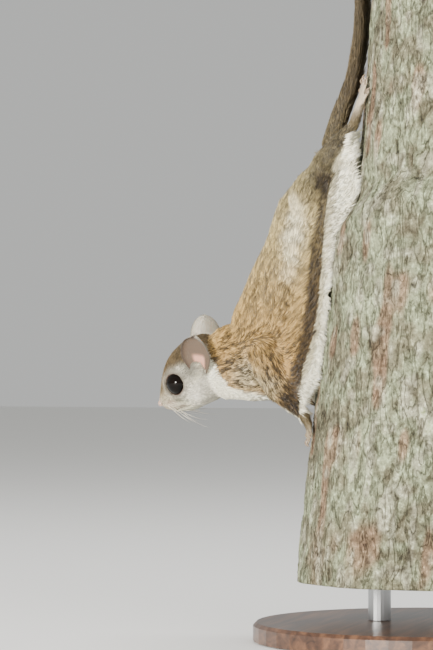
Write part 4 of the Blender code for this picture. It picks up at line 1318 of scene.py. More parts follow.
def tuft_mesh(name: str, tufts: Tufts, path: tuple[Array, Array, Array],
              spikes: bool = False) -> bpy.types.Object:
    """One joined mesh of closed, tapered, three-sided tufts.

    Args:
        name: the piece's name.
        tufts: sizes, colours and places on the shared map.
        path: root, middle and tip of each tuft.
        spikes: leave out the middle ring, for the shortest hair.

    Returns:
        The new object.
    """
    start, middle, tip = path
    along = unit(tip - start)
    across = unit(np.cross(along, tufts.up))
    upright = np.cross(across, along)
    corners = []
    for centre, size in ((start, 0.8),) if spikes else ((start, 0.75), (middle, 1.0)):
        half = (tufts.width * size / 2)[:, None]
        corners += [centre - across * half, centre + across * half, centre + upright * half * 0.8]
    corners.append(tip)
    verts = np.stack(corners, axis=1)
    pattern = SPIKE_FACES if spikes else TUFT_FACES
    count, each = len(start), verts.shape[1]
    faces = (pattern[None] + (np.arange(count) * each)[:, None, None]).reshape(-1)
    mesh = bpy.data.meshes.new(name)
    mesh.vertices.add(count * each)
    mesh.vertices.foreach_set("co", ((verts + SHIFT) * MM).astype(np.float32).ravel())
    mesh.loops.add(len(faces))
    mesh.loops.foreach_set("vertex_index", faces.astype(np.int32))
    mesh.polygons.add(len(faces) // 3)
    mesh.polygons.foreach_set("loop_start", np.arange(0, len(faces), 3, dtype=np.int32))
    mesh.update(calc_edges=True)
    mesh.shade_smooth()
    made = link_new(name, mesh)
    ring = [] if spikes else [tufts.low * 0.35 + tufts.high * 0.65] * 3
    shades = [tufts.low] * 3 + ring + [tufts.high]
    paint(made, COAT_COLOURS, np.stack(shades, axis=1).reshape(-1, 3))
    spot = TUFT_SPOTS[[0, 1, 2, 6]] if spikes else TUFT_SPOTS
    layer = mesh.uv_layers.new(name=BAKE_MAP)
    patch = (tufts.place[:, None] + (spot[None] - (0, 0.5)) * TUFT_PATCH).reshape(-1, 2)
    layer.data.foreach_set("uv", np.clip(patch[faces], 0, 1).astype(np.float32).ravel())
    return made


@dataclass
class CoatZone:
    """How the coat grows on one part of the body."""

    name: str
    regions: tuple[str, ...]
    count: int
    length: tuple[float, float]
    width: float
    tilt: float
    spikes: bool = False          # tufts without a middle ring
    lock: float = 0.35            # how far tips move to their lock's own tip
    room: float = 0.1             # mm that tips keep from the bark; below 0 they may go into it


@dataclass
class Coat:
    """The fur: tufts over the skin that follow its lie, shortest on the face and feet."""

    skin: Coated
    trunk: Trunk
    markings: Markings = field(default_factory=Markings)
    zones: tuple[CoatZone, ...] = (
        CoatZone("face", ("head",), 46000, (1.6, 2.9), 0.26, 18.0, True),
        CoatZone("body", ("neck", "chest", "abdomen", "upper_arm", "thigh"), 72000, (4.6, 7.0), 0.34, 17.0),
        CoatZone("membrane", ("patagium",), 20000, (3.2, 5.0), 0.3, 13.0),
        CoatZone("fringe", ("patagium", "forearm", "shin"), 8000, (4.0, 7.0), 0.3, 30.0, room=-1.4),
        CoatZone("legs", ("forearm", "shin"), 9000, (3.0, 4.6), 0.28, 19.0),
        CoatZone("feet", ("forefoot", "hind_foot"), 12000, (1.1, 1.7), 0.2, 18.0, True, 0.1),
    )
    most: int = 19500             # tufts in one piece, to stay under its limit of triangles
    most_spikes: int = 49000      # the same for tufts without a middle ring
    to_lock: float = 14.0         # tufts for each lock
    wander: float = 0.55          # how far the lie strays
    bare_ring: float = 5.75       # mm from an eyeball's centre, without hair
    skin_shade: float = 0.72      # brightness of the skin between the tufts

    def lie(self) -> Array:
        """Direction of the hair at each vertex of the skin: head to tail and down the limbs."""
        p, region = self.skin.points, self.skin.region
        side = np.where(p[:, 1] < 0, 1.0, -1.0)
        spine = np.array(SPINE)
        ahead = unit(stride(spine, path_gap(p, spine)[1], 0.4))
        back, up, left = head_sizes(p)
        # All the signs share one length of 1 here, so the lean outwards is below 0.03 degrees.
        lean = unit(np.sign(left))[:, None] * LEFTWARD * 0.12
        head = -FORWARD + lean - UPWARD * (0.35 * ramp(2.0, -6.0, up) * ramp(29.0, 20.0, back))[:, None]
        for eye in Side:
            off = p - eye_centre(eye)
            near = ramp(9.5, 5.5, np.linalg.norm(off, axis=1))[:, None]
            head = head + unit(off) * near * 0.8
        way = np.where((region == "head")[:, None], unit(head), ahead)
        for names, knots in ((("upper_arm", "forearm", "forefoot"), ARM),
                             (("thigh", "shin", "hind_foot"), LEG)):
            limb = np.array(knots)
            step = unit(stride(limb, path_gap(mirrored_left(p), limb)[1], 0.4))
            step[:, 1] *= side
            way = np.where(np.isin(region, names)[:, None], step, way)
        outward = np.tile(unit(np.array(EDGE[3]) - ROOT[3]), (len(p), 1))
        outward[:, 1] *= side
        way = np.where((region == "patagium")[:, None], unit(ahead * 0.8 + outward * 0.65), way)
        return unit(level(relax(way, self.skin.pairs, 14), self.skin.normals))

    def colours(self) -> tuple[Array, Array]:
        """Markings and ticking at each vertex of the skin."""
        p, region = self.skin.points, self.skin.region
        body, ticking = self.markings.body(p)
        head, head_ticks = self.markings.head(p)
        share = relax((region == "head").astype(float)[:, None], self.skin.pairs, 18)
        tint = body * (1 - share) + head * share
        ticks = ticking * (1 - share[:, 0]) + head_ticks * share[:, 0]
        foot = np.isin(region, ["forefoot", "hind_foot"]).astype(float)
        foot = relax(foot[:, None], self.skin.pairs, 14)[:, 0]
        mix = ramp(0.05, 0.5, foot)[:, None]
        return tint * (1 - mix) + self.markings.feet(p) * mix, ticks * (1 - mix[:, 0])

    def grow(self, zone: CoatZone, seed: int, lie: Array, tint: Array, ticks: Array) -> Tufts:
        """Roots, directions, sizes and colours of one zone's tufts.

        Args:
            zone: the zone.
            seed: its own seed.
            lie: direction of the hair at each vertex.
            tint: colour at each vertex.
            ticks: ticking at each vertex.

        Returns:
            The zone's tufts.
        """
        rng = np.random.default_rng(SEED + seed)
        mesh = self.skin.piece.data
        mesh.calc_loop_triangles()
        corner = read_rows(mesh.loop_triangles, "loops", 3, np.int64)
        vert = read_rows(mesh.loop_triangles, "vertices", 3, np.int64)
        uv = read_rows(mesh.uv_layers[BAKE_MAP].data, "uv", 2)
        p = self.skin.points
        inside = np.isin(self.skin.region, zone.regions)[vert].mean(axis=1) > 0.5
        area = np.linalg.norm(np.cross(p[vert[:, 1]] - p[vert[:, 0]], p[vert[:, 2]] - p[vert[:, 0]]), axis=1)
        centre = p[vert].mean(axis=1)
        facing = self.skin.normals[vert].mean(axis=1)
        hidden = ramp(0.2, 0.8, facing[:, 0]) * ramp(-12.0, 4.0, centre[:, 0])
        weight = area * inside * (1 - 0.55 * hidden) * (eye_gap(centre) >= self.bare_ring)
        if zone.name == "fringe":
            weight *= self.fringe(centre)
        chosen = rng.choice(len(vert), zone.count, p=weight / weight.sum())
        a, b = rng.random(zone.count), rng.random(zone.count)
        flip = a + b > 1
        a[flip], b[flip] = 1 - a[flip], 1 - b[flip]
        mix = np.stack([1 - a - b, a, b], axis=1)[:, :, None]

        def blend(rows: Array, at: Array) -> Array:
            """Rows at a triangle's corners, blended at the root."""
            return np.sum(rows[at[chosen]] * mix, axis=1)

        root, up = blend(p, vert), unit(blend(self.skin.normals, vert))
        way, shade, tick = blend(lie, vert), blend(tint, vert), blend(ticks[:, None], vert)[:, 0]
        wander = np.stack([soft_noise(root, 3.6, first + seed) for first in (41, 51, 61)], axis=1) - 0.5
        if zone.name == "fringe":
            way = level(np.where(root[:, 2:] < MIDDLE_HEIGHT, (0.93, 0.0, -0.38), (0.95, 0.0, 0.3)), up)
            shade, tick = np.tile(rgb(self.markings.white), (len(root), 1)), np.zeros(len(root))
        calm = unit(way)
        way = unit(calm + self.wander * wander + rng.normal(0, 0.09, way.shape))
        low_length, high_length = zone.length
        length = (low_length + (high_length - low_length) * rng.random(zone.count)) * self.short(root, zone)
        length *= 1 - 0.6 * np.exp(-np.sum((root[:, ::2] - JAW_CREASE) ** 2, axis=1) / JAW_SPREAD)
        width = zone.width * (0.7 + 0.6 * rng.random(zone.count)) * np.clip(length / low_length, 0.5, 1.1)
        tilt = np.radians(zone.tilt + rng.normal(0, 3.0, zone.count))
        bend = tilt * (0.25 + 0.4 * rng.random(zone.count))
        low, high = self.hair_shades(root, calm, shade, tick, rng)
        return Tufts(root, up, way, length, width, tilt, bend, low, high, blend(uv, corner))

    def fringe(self, points: Array) -> Array:
        """Where the white fringe grows: by the wrist and the ankle, and along the bark."""
        height = points[:, 2]
        ends = np.maximum(ramp(116.0, 108.0, height) * (height > 97.0),
                          ramp(205.0, 210.0, height) * (height < 218.0))
        limbs = ends * ramp(-0.8, 0.8, beyond_edge(points)) * (np.abs(points[:, 1]) > 14.0)
        seam = (ramp(4.0, 1.5, self.trunk.clearance(points)) * ramp(20.0, 24.0, np.abs(points[:, 1]))
                * (height > 106.0) * (height < 214.0))
        return np.maximum(limbs, 0.7 * seam)

    def short(self, root: Array, zone: CoatZone) -> Array:
        """Shorter hair at the nose and eyes, longer on the throat and behind the cheeks."""
        back, up, _ = head_sizes(root)
        height = root[:, 2]
        if zone.name == "face":
            return ((0.5 + 0.5 * ramp(0.0, 9.0, back)) * (0.45 + 0.55 * ramp(5.6, 8.5, eye_gap(root)))
                    * (1 + 0.35 * ramp(18.0, 34.0, back))
                    * (1 - 0.6 * ramp(25.0, 31.0, back) * ramp(0.0, -4.0, up)))
        if zone.name == "feet":
            return 0.6 + 1.2 * np.maximum(ramp(90.0, 97.0, height) * (height < MIDDLE_HEIGHT),
                                          ramp(232.0, 223.0, height) * (height > MIDDLE_HEIGHT))
        if zone.name == "body":
            return (0.5 + 0.5 * ramp(30.0, 50.0, back)) * (1 - 0.55 * ramp(205.0, 213.0, height))
        return np.ones(len(root))

    def hair_shades(self, root: Array, way: Array, shade: Array, tick: Array,
                    rng: np.random.Generator) -> tuple[Array, Array]:
        """Root and tip colours: grey-brown roots, varied tips and dark ticked streaks along the lie."""
        near = root - (-14.0, 0.0, MIDDLE_HEIGHT)
        along = near - 0.75 * way * np.sum(near * way, axis=1, keepdims=True)
        streak = soft_noise(along, 0.9, 71) * 0.7 + soft_noise(along, 0.5, 72) * 0.3
        broad = soft_noise(root, 7.0, 73) - 0.5
        dark = tick * np.maximum(ramp(0.5, 0.57, streak), rng.random(len(root)) < 0.06)
        light = 1 + 0.4 * broad + rng.normal(0, 0.13, len(root)) - 0.9 * (streak - 0.5)
        high = blended(shade * light[:, None], "#2a2015", 0.9 * dark)
        pale = np.clip(shade.mean(axis=1) / 0.6, 0, 1)[:, None]
        low = shade * (0.48 + 0.44 * pale ** 2) * (1 - 0.5 * dark[:, None])
        return low, high

    def build(self) -> None:
        """Paint the skin and grow the coat over it."""
        lie = self.lie()
        tint, ticks = self.colours()
        paint(self.skin.piece, COAT_COLOURS, tint * self.skin_shade)
        finish_piece(self.skin.piece, FLESH, FurFinish())
        for number, zone in enumerate(self.zones):
            tufts = self.grow(zone, number * 7, lie, tint, ticks)
            tufts = tufts.pick(np.argsort(tufts.root[:, 2]))
            rng = np.random.default_rng(SEED + 90 + number)
            path = clump(tufts, zone.lock, self.to_lock, rng, tufts.outline())
            middle_room, tip_room = (self.trunk.clearance(row) for row in path[1:])
            clear = (tip_room > zone.room) & (middle_room > min(zone.room, 0.0))
            tufts, path = tufts.pick(clear), tuple(row[clear] for row in path)
            limit = self.most_spikes if zone.spikes else self.most
            parts = max(1, math.ceil(len(tufts.root) / limit))
            for part, rows in enumerate(np.array_split(np.arange(len(tufts.root)), parts)):
                made = tuft_mesh(f"coat_{zone.name}_{part + 1}", tufts.pick(rows),
                                 tuple(row[rows] for row in path), zone.spikes)
                finish_piece(made, finish=FurFinish())


# The tail


@dataclass
class TailBrush:
    """The flat tail: a thin core and a brush of hair that spreads to both sides."""

    trunk: Trunk
    core_width: float = 0.3       # shares of the coat's outline that the core fills
    core_depth: float = 0.5
    core_root: float = 0.75       # the same at the tail's root
    sides: int = 20
    rings: int = 90
    hairs: int = 17000
    hair_width: float = 0.42
    to_lock: float = 12.0         # tufts for each lock
    side_length: tuple[float, float] = (9.0, 14.0)
    top_length: tuple[float, float] = (6.0, 9.0)

    def path(self, t: Array) -> tuple[Array, Array, Array, Array, Array]:
        """Centre, heading, outward direction, half width and half depth of the coat at t."""
        rows = spline(TAIL, t)
        step = stride(TAIL, t, 0.1)
        centre = np.stack([rows[:, 0], 0 * t, rows[:, 1]], axis=1)
        heading = unit(np.stack([step[:, 0], 0 * t, step[:, 1]], axis=1))
        outward_way = np.cross(heading, (0.0, 1.0, 0.0))
        return centre, heading, outward_way, rows[:, 3], rows[:, 2]

    def skin_place(self, t: Array, angle: Array) -> tuple[Array, Array]:
        """Place and direction on the core at t, for an angle from the left side up to the back."""
        centre, _, outward_way, wide, deep = self.path(t)
        base = ramp(2.0, 0.0, t)
        half, depth = (size * (share + (self.core_root - share) * base)
                       for size, share in ((wide, self.core_width), (deep, self.core_depth)))
        across, out = np.cos(angle), np.sin(angle)
        return (centre + BODY_LEFT * (half * across)[:, None] + outward_way * (depth * out)[:, None],
                unit(BODY_LEFT * (across / half)[:, None] + outward_way * (out / depth)[:, None]))

    def shade(self, t: Array, out: Array) -> Array:
        """Colour of the brush: grey-brown, darker along the middle and towards the tip."""
        uneven = soft_noise(np.stack([t, out, 0 * t], axis=1), 0.5, 81) - 0.5
        tint = blended(rgb("#3b3225"), "#6b5d43", np.clip(0.25 + 0.55 * out + 0.2 * uneven, 0, 1))
        tint = blended(tint, "#655a40", ramp(1.6, 0.0, t))
        return tint * (1 - 0.18 * ramp(3.0, 8.0, t))[:, None]

    def core(self) -> bpy.types.Object:
        """The tail's own closed skin inside the brush."""
        stations = np.linspace(0.0, len(TAIL) - 1.15, self.rings)
        turns = circle(self.sides)
        t, angle = (a.ravel() for a in np.meshgrid(stations, turns, indexing="ij"))
        points, _ = self.skin_place(t, angle)
        made = closed_tube("tail_skin", points.reshape(self.rings, self.sides, 3))
        paint(made, COAT_COLOURS, self.shade(t, np.abs(np.cos(angle)) * 0.4) * 0.6)
        layer = made.data.uv_layers.new(name=BAKE_MAP)
        place = on_map(angle / (2 * math.pi), t / len(TAIL))
        loops = read_rows(made.data.loops, "vertex_index", 1, np.int64)[:, 0]
        layer.data.foreach_set("uv", place[loops].astype(np.float32).ravel())
        return made

    def brush(self) -> tuple[Tufts, tuple[Array, Array, Array]]:
        """Tufts of the brush: long ones that sweep out from the sides, shorter ones along the back."""
        rng = np.random.default_rng(SEED + 200)
        count = self.hairs
        sideways = rng.random(count) < 0.62
        t = rng.random(count) * (len(TAIL) - 1.35)
        spread = rng.normal(0, 0.38, count)
        angle = np.where(sideways, np.where(rng.random(count) < 0.5, 0.0, math.pi) + spread,
                         math.pi / 2 + rng.normal(0, 0.75, count))
        under = rng.random(count) < 0.10
        angle = np.where(under, -math.pi / 2 + rng.normal(0, 0.6, count), angle)
        root, up = self.skin_place(t, angle)
        _, heading, outward_way, wide, _ = self.path(t)
        lateral = np.sign(np.cos(angle)) * np.abs(np.cos(angle)) ** 0.7
        body = ramp(0.3, 2.2, t)
        fan = np.radians(12.0 + 26.0 * np.abs(lateral) * body + rng.normal(0, 4.0, count))
        lift = 0.10 * np.maximum(np.sin(angle), 0.0) + rng.normal(0, 0.03, count)
        way = unit(heading * np.cos(fan)[:, None] + BODY_LEFT * (np.sin(fan) * np.sign(lateral))[:, None]
                   + outward_way * lift[:, None])
        low_side, high_side = self.side_length
        low_top, high_top = self.top_length
        pick = rng.random(count)
        length = np.where(np.abs(lateral) > 0.55, low_side + (high_side - low_side) * pick,
                          low_top + (high_top - low_top) * pick)
        reach = np.maximum(wide - np.abs(root[:, 1]), 2.0) / np.maximum(np.sin(fan), 0.12)
        length = np.minimum(length * (0.35 + 0.65 * body), reach * 1.05)
        left_to_tip = (len(TAIL) - 1.0 - t) * 12.0 + 2.0 - 9.0 * lateral ** 2
        length = np.minimum(length, np.maximum(left_to_tip, 3.0))
        width = self.hair_width * (0.7 + 0.6 * rng.random(count))
        start = root - up * (0.4 * width)[:, None]
        middle = start + way * (length * 0.5)[:, None] + outward_way * (0.35 * np.sin(angle))[:, None]
        inward = unit(way + heading * 0.35)
        tip = middle + inward * (length * 0.5)[:, None]
        out = np.clip(np.abs(tip[:, 1]) / np.maximum(wide, 1.0), 0, 1)
        tint = self.shade(t, out) * (1 + rng.normal(0, 0.12, count))[:, None]
        ticked = (rng.random(count) < 0.25)[:, None]
        high = np.where(ticked, tint * 0.55, tint * 1.15)
        place = on_map((angle % (2 * math.pi)) / (2 * math.pi), t / len(TAIL))
        tufts = Tufts(root, up, way, length, width, 0 * t, 0 * t, tint * 0.75, high, place)
        path = clump(tufts, 0.4, self.to_lock, rng, (start, middle, tip))
        clear = np.minimum(self.trunk.clearance(path[2]), self.trunk.clearance(path[1])) > 0.15
        return tufts.pick(clear), tuple(row[clear] for row in path)

    def build(self) -> None:
        """Make the tail's skin and brush."""
        finish_piece(self.core(), ["tail_base", "tail_middle", "tail_tip"], FurFinish())
        tufts, path = self.brush()
        made = tuft_mesh("coat_tail", tufts, path)
        finish_piece(made, finish=FurFinish())


# Eyes, ears, nose, claws, whiskers


def globe(name: str, centre: Array, axes: Array, sizes: Array, sides: int, rings: int) -> bpy.types.Object:
    """A closed ellipsoid whose poles lie on the first axis."""
    faces = ring_faces(rings, sides)
    lat = np.linspace(0, math.pi, rings + 2)[1:-1]
    lon = circle(sides)
    a, b = (v.ravel() for v in np.meshgrid(lat, lon, indexing="ij"))
    local = np.stack([np.cos(a), np.sin(a) * np.cos(b), np.sin(a) * np.sin(b)], axis=1) * sizes
    pole = axes[0] * sizes[0]
    points = np.concatenate([centre + local @ axes, [centre + pole, centre - pole]])
    near, far = rings * sides, rings * sides + 1
    for c in range(sides):
        d = (c + 1) % sides
        faces.append((near, d, c))
        faces.append((far, (rings - 1) * sides + c, (rings - 1) * sides + d))
    return closed_object(name, points, faces)


def curved_tube(name: str, path: Array, radii: Array, sides: int, closed: bool = False) -> bpy.types.Object:
    """A round tube along a path, closed into a ring or with both ends shut."""
    ahead = np.roll(path, -1, axis=0) - np.roll(path, 1, axis=0)
    if not closed:
        ahead[0], ahead[-1] = path[1] - path[0], path[-1] - path[-2]
    ahead = unit(ahead)
    towards = path.mean(axis=0) - path + ahead * 0.01 if closed else np.array([0.01, 1.01, 0.01])
    first = unit(np.cross(ahead, towards))
    second = np.cross(ahead, first)
    turns = circle(sides)[:, None]
    rings = path[:, None] + radii[:, None, None] * (
        first[:, None] * np.cos(turns) + second[:, None] * np.sin(turns))
    if not closed:
        return closed_tube(name, rings)
    faces = ring_faces(len(path), sides)
    last = (len(path) - 1) * sides
    faces += [(last + c, last + (c + 1) % sides, (c + 1) % sides, c) for c in range(sides)]
    return closed_object(name, rings.reshape(-1, 3), faces)


@dataclass
class Eyes:
    """Both eyeballs with their thin dark lids."""

    lid_radius: float = 0.42

    def build(self) -> None:
        """Make the eyes and the rims of their lids."""
        for side in Side:
            word = side.name.lower()
            centre, axis = eye_centre(side), eye_axis(side)
            across = unit(np.cross(axis, UPWARD))
            axes = np.array([axis, across, np.cross(axis, across)])
            made = globe(f"eyeball_{word}", centre, axes, np.full(3, EYE_RADIUS), 64, 31)
            finish_piece(made, [f"eye_{word}"], GlassEyeFinish())
            turns = circle(72)
            wide = LID_OPENING * (1 + 0.03 * np.cos(2 * turns))
            rise = np.sqrt((EYE_RADIUS + 0.05) ** 2 - np.minimum(wide, EYE_RADIUS) ** 2)
            ring = (centre + axis * rise[:, None] + axes[1] * (wide * np.cos(turns))[:, None]
                    + axes[2] * (wide * np.sin(turns))[:, None])
            lid = curved_tube(f"lid_rim_{word}", ring, np.full(len(ring), self.lid_radius), 10, True)
            paint(lid, COAT_COLOURS, np.tile(rgb("#3a2a22"), (len(lid.data.vertices), 1)))
            finish_piece(lid, finish=BareSkinFinish())


@dataclass
class Ears:
    """Cupped ears: thin curved sheets, grey-brown with a pink fleshy root, and a fuzz of fine hair."""

    base: tuple[float, float, float] = (28.4, 2.2, 12.4)
    tips: dict[Side, tuple[float, float, float]] = field(default_factory=lambda: {
        Side.LEFT: (36.6, 14.4, 16.8), Side.RIGHT: (38.0, 18.6, 13.6)})
    half_width: float = 7.2
    root: float = 3.0
    cup: float = 3.4
    thickness: float = 0.8
    rows: int = 46
    columns: int = 34
    fuzz: int = 2600

    def sheet(self, side: Side, u: Array, v: Array) -> tuple[Array, Array, Array]:
        """Middle of the sheet, its facing and its half thickness, for u to the tip and v across."""
        base, tip = head_place(*self.base, side), head_place(*self.tips[side], side)
        along = unit(tip - base)
        length = float(np.linalg.norm(tip - base)) + self.root
        facing = -LEFTWARD * side.value * 0.9 + FORWARD * 0.42
        facing = unit(facing - np.dot(facing, along) * along)
        across = np.cross(along, facing)
        width = self.half_width * (0.48 + 0.52 * np.sin(math.pi * np.minimum(u / 0.55, 1.0) / 2))
        width = width * np.sqrt(np.maximum(1 - (np.maximum(u - 0.5, 0.0) / 0.504) ** 2, 0.0))
        cup = self.cup * (1 - 0.5 * u) * (1 - v * v) - 1.2 * u
        curl = 0.5 * np.exp(-((np.abs(v) - 1) / 0.16) ** 2) * ramp(0.1, 0.4, u)
        fold = 0.35 * np.exp(-((v - 0.35) / 0.2) ** 2) * ramp(0.6, 0.25, u)
        place = (base + along * (u * length - self.root)[:, None] + across * (v * width)[:, None]
                 - facing * (cup - 1.5 - curl - fold)[:, None])
        half = self.thickness * (0.62 - 0.26 * np.abs(v))
        return place, np.tile(facing, (len(u), 1)), half

    def ear(self, side: Side) -> bpy.types.Object:
        """One ear as a closed thin sheet with its colours."""
        u_line = np.sin(np.linspace(0.0, math.pi / 2, self.rows))
        v_line = np.linspace(-1.0, 1.0, self.columns)
        u, v = (a.ravel() for a in np.meshgrid(u_line, v_line, indexing="ij"))
        middle, facing, half = self.sheet(side, u, v)
        inner, outer = middle + facing * half[:, None], middle - facing * half[:, None]
        count, faces = len(u), []
        c = self.columns
        for i in range(self.rows - 1):
            for j in range(c - 1):
                a = i * c + j
                faces.append((a, a + 1, a + c + 1, a + c))
                faces.append((count + a, count + a + c, count + a + c + 1, count + a + 1))
        rim = (list(range(c)) + [i * c + c - 1 for i in range(1, self.rows)]
               + [(self.rows - 1) * c + j for j in range(c - 2, -1, -1)]
               + [i * c for i in range(self.rows - 2, 0, -1)])
        for a, b in zip(rim, rim[1:] + rim[:1]):
            faces.append((b, a, count + a, count + b))
        made = closed_object(f"ear_{side.name.lower()}_sheet", np.concatenate([inner, outer]), faces)
        paint(made, COAT_COLOURS, np.concatenate([self.inside(u, v), self.outside(u, v)]))
        return made

    def inside(self, u: Array, v: Array) -> Array:
        """Colour of the cupped face: pink flesh low in the cup, grey-brown above, a dark rim."""
        flesh = np.clip(ramp(0.52, 0.36, u) * ramp(0.55, 0.25, np.abs(v)) * 1.2, 0, 1)
        rim = ramp(0.78, 0.96, np.abs(v)) * 0.8 + ramp(0.85, 0.98, u) * 0.6
        return blended(blended(rgb("#5d4d3f"), "#c9957f", flesh), "#3a2f26", np.clip(rim, 0, 0.8))

    def outside(self, u: Array, v: Array) -> Array:
        """Colour of the back of the ear: grey-brown, a little paler at the root."""
        tint = blended(rgb("#a09a8b"), "#c2b7a0", 0.6 * ramp(0.4, 0.0, u))
        return tint * (1 - 0.25 * ramp(0.85, 1.0, np.abs(v)))[:, None]

    def down(self, side: Side) -> bpy.types.Object:
        """Short fine hair on both faces and along the rim."""
        rng = np.random.default_rng(SEED + 300 + int(side.value))
        u, v = rng.random(self.fuzz) ** 0.6, rng.random(self.fuzz) * 2 - 1
        edge = rng.random(self.fuzz) < 0.25
        v = np.where(edge, np.sign(v) * (0.96 + 0.04 * rng.random(self.fuzz)), v)
        middle, facing, half = self.sheet(side, u, v)
        ahead, _, _ = self.sheet(side, np.minimum(u + 0.05, 1.0), v)
        turn = np.where(rng.random(self.fuzz) < 0.5, 1.0, -1.0)[:, None]
        up = facing * turn
        root = middle + up * half[:, None]
        way = unit(ahead - middle + rng.normal(0, 0.12, middle.shape))
        length = 0.7 + 0.7 * rng.random(self.fuzz)
        tint = np.where(turn > 0, self.inside(u, v), self.outside(u, v))
        tint = blended(tint, "#d9cfba", np.full(self.fuzz, 0.18))
        tilt = np.full(self.fuzz, math.radians(14.0))
        tufts = Tufts(root, up, way, length, np.full(self.fuzz, 0.11), tilt, tilt * 0.5, tint * 0.9, tint,
                      on_map(0.5 + 0.5 * v, u))
        return tuft_mesh(f"ear_{side.name.lower()}_down", tufts, tufts.outline(), True)

    def build(self) -> None:
        """Make both ears."""
        for side in Side:
            word = side.name.lower()
            finish_piece(self.ear(side), [f"ear_{word}"], BareSkinFinish())
            finish_piece(self.down(side), finish=FurFinish())


@dataclass
class Nose:
    """The nose pad with its two nostrils."""

    sizes: tuple[float, float, float] = (1.5, 2.0, 1.45)

    def build(self) -> None:
        """Make the pad, pressing each nostril in as a curved hollow."""
        centre = NOSE_TIP + UPWARD * -0.5 - FORWARD * 1.25
        axes = np.array([FORWARD, LEFTWARD, UPWARD])
        made = globe("nose_leather", centre, axes, np.array(self.sizes), 56, 35)
        local = (places_of(made.data) - centre) @ axes.T
        for side in Side:
            out = local[:, 1] * -side.value - 1.15
            hollow = np.exp(-((out / 0.5) ** 2 + ((local[:, 2] + 0.05 + 0.25 * out) / 0.34) ** 2))
            local[:, 0] -= 0.75 * hollow * (local[:, 0] > 0)
        split = np.exp(-(local[:, 1] / 0.18) ** 2) * ramp(0.3, -0.4, local[:, 2])
        local[:, 0] -= 0.2 * split * (local[:, 0] > 0)
        move_vertices(made.data, centre + local @ axes)
        finish_piece(made, ["nose_pad"], NosePadFinish())


@dataclass
class Claws:
    """Curved claws at the tips of all toes."""

    trunk: Trunk
    length: float = 2.3
    radius: float = 0.6
    shape: tuple[tuple[float, float, float], ...] = (  # share along, mm off the bark, share of the radius
        (-0.45, 1.3, 1.0), (0.15, 2.0, 0.95), (0.6, 1.75, 0.66), (1.0, 0.75, 0.16))

    def claw(self, knuckle: Array, tip: Array) -> tuple[Array, Array]:
        """Path and radii of one claw that leaves the toe and hooks to the bark."""
        heading = unit(tip - knuckle)
        table = spline(self.shape, np.linspace(0, len(self.shape) - 1, 14))
        y, z = (at + way * table[:, 0] * self.length for at, way in zip(tip, heading))
        return (np.stack([self.trunk.face_x(y, z) - table[:, 1], y, z], axis=1),
                np.maximum(table[:, 2], 0.12) * self.radius)

    def build(self) -> None:
        """Make the claws of each foot as one piece."""
        for foot, toes, lift in (("forefoot", FORE_TOES, FORE_LIFT), ("hind_foot", HIND_TOES, HIND_LIFT)):
            for side in Side:
                raise_by = lift if side is Side.RIGHT else 0.0
                ends = np.reshape(toes, (-1, 2, 2)) * (-side.value, 1.0) + (0.0, raise_by)
                made = [curved_tube("claw", *self.claw(knuckle, tip), 10) for knuckle, tip in ends]
                joined = join(made, f"claws_{foot}_{side.name.lower()}")
                finish_piece(joined, finish=ClawFinish())


def join(parts: Sequence[bpy.types.Object], name: str) -> bpy.types.Object:
    """Join separate closed pieces into one object."""
    whole = bmesh.new()
    for part in parts:
        whole.from_mesh(part.data)
        bpy.data.objects.remove(part)
    mesh = mesh_from(name, whole)
    mesh.shade_smooth()
    return link_new(name, mesh)


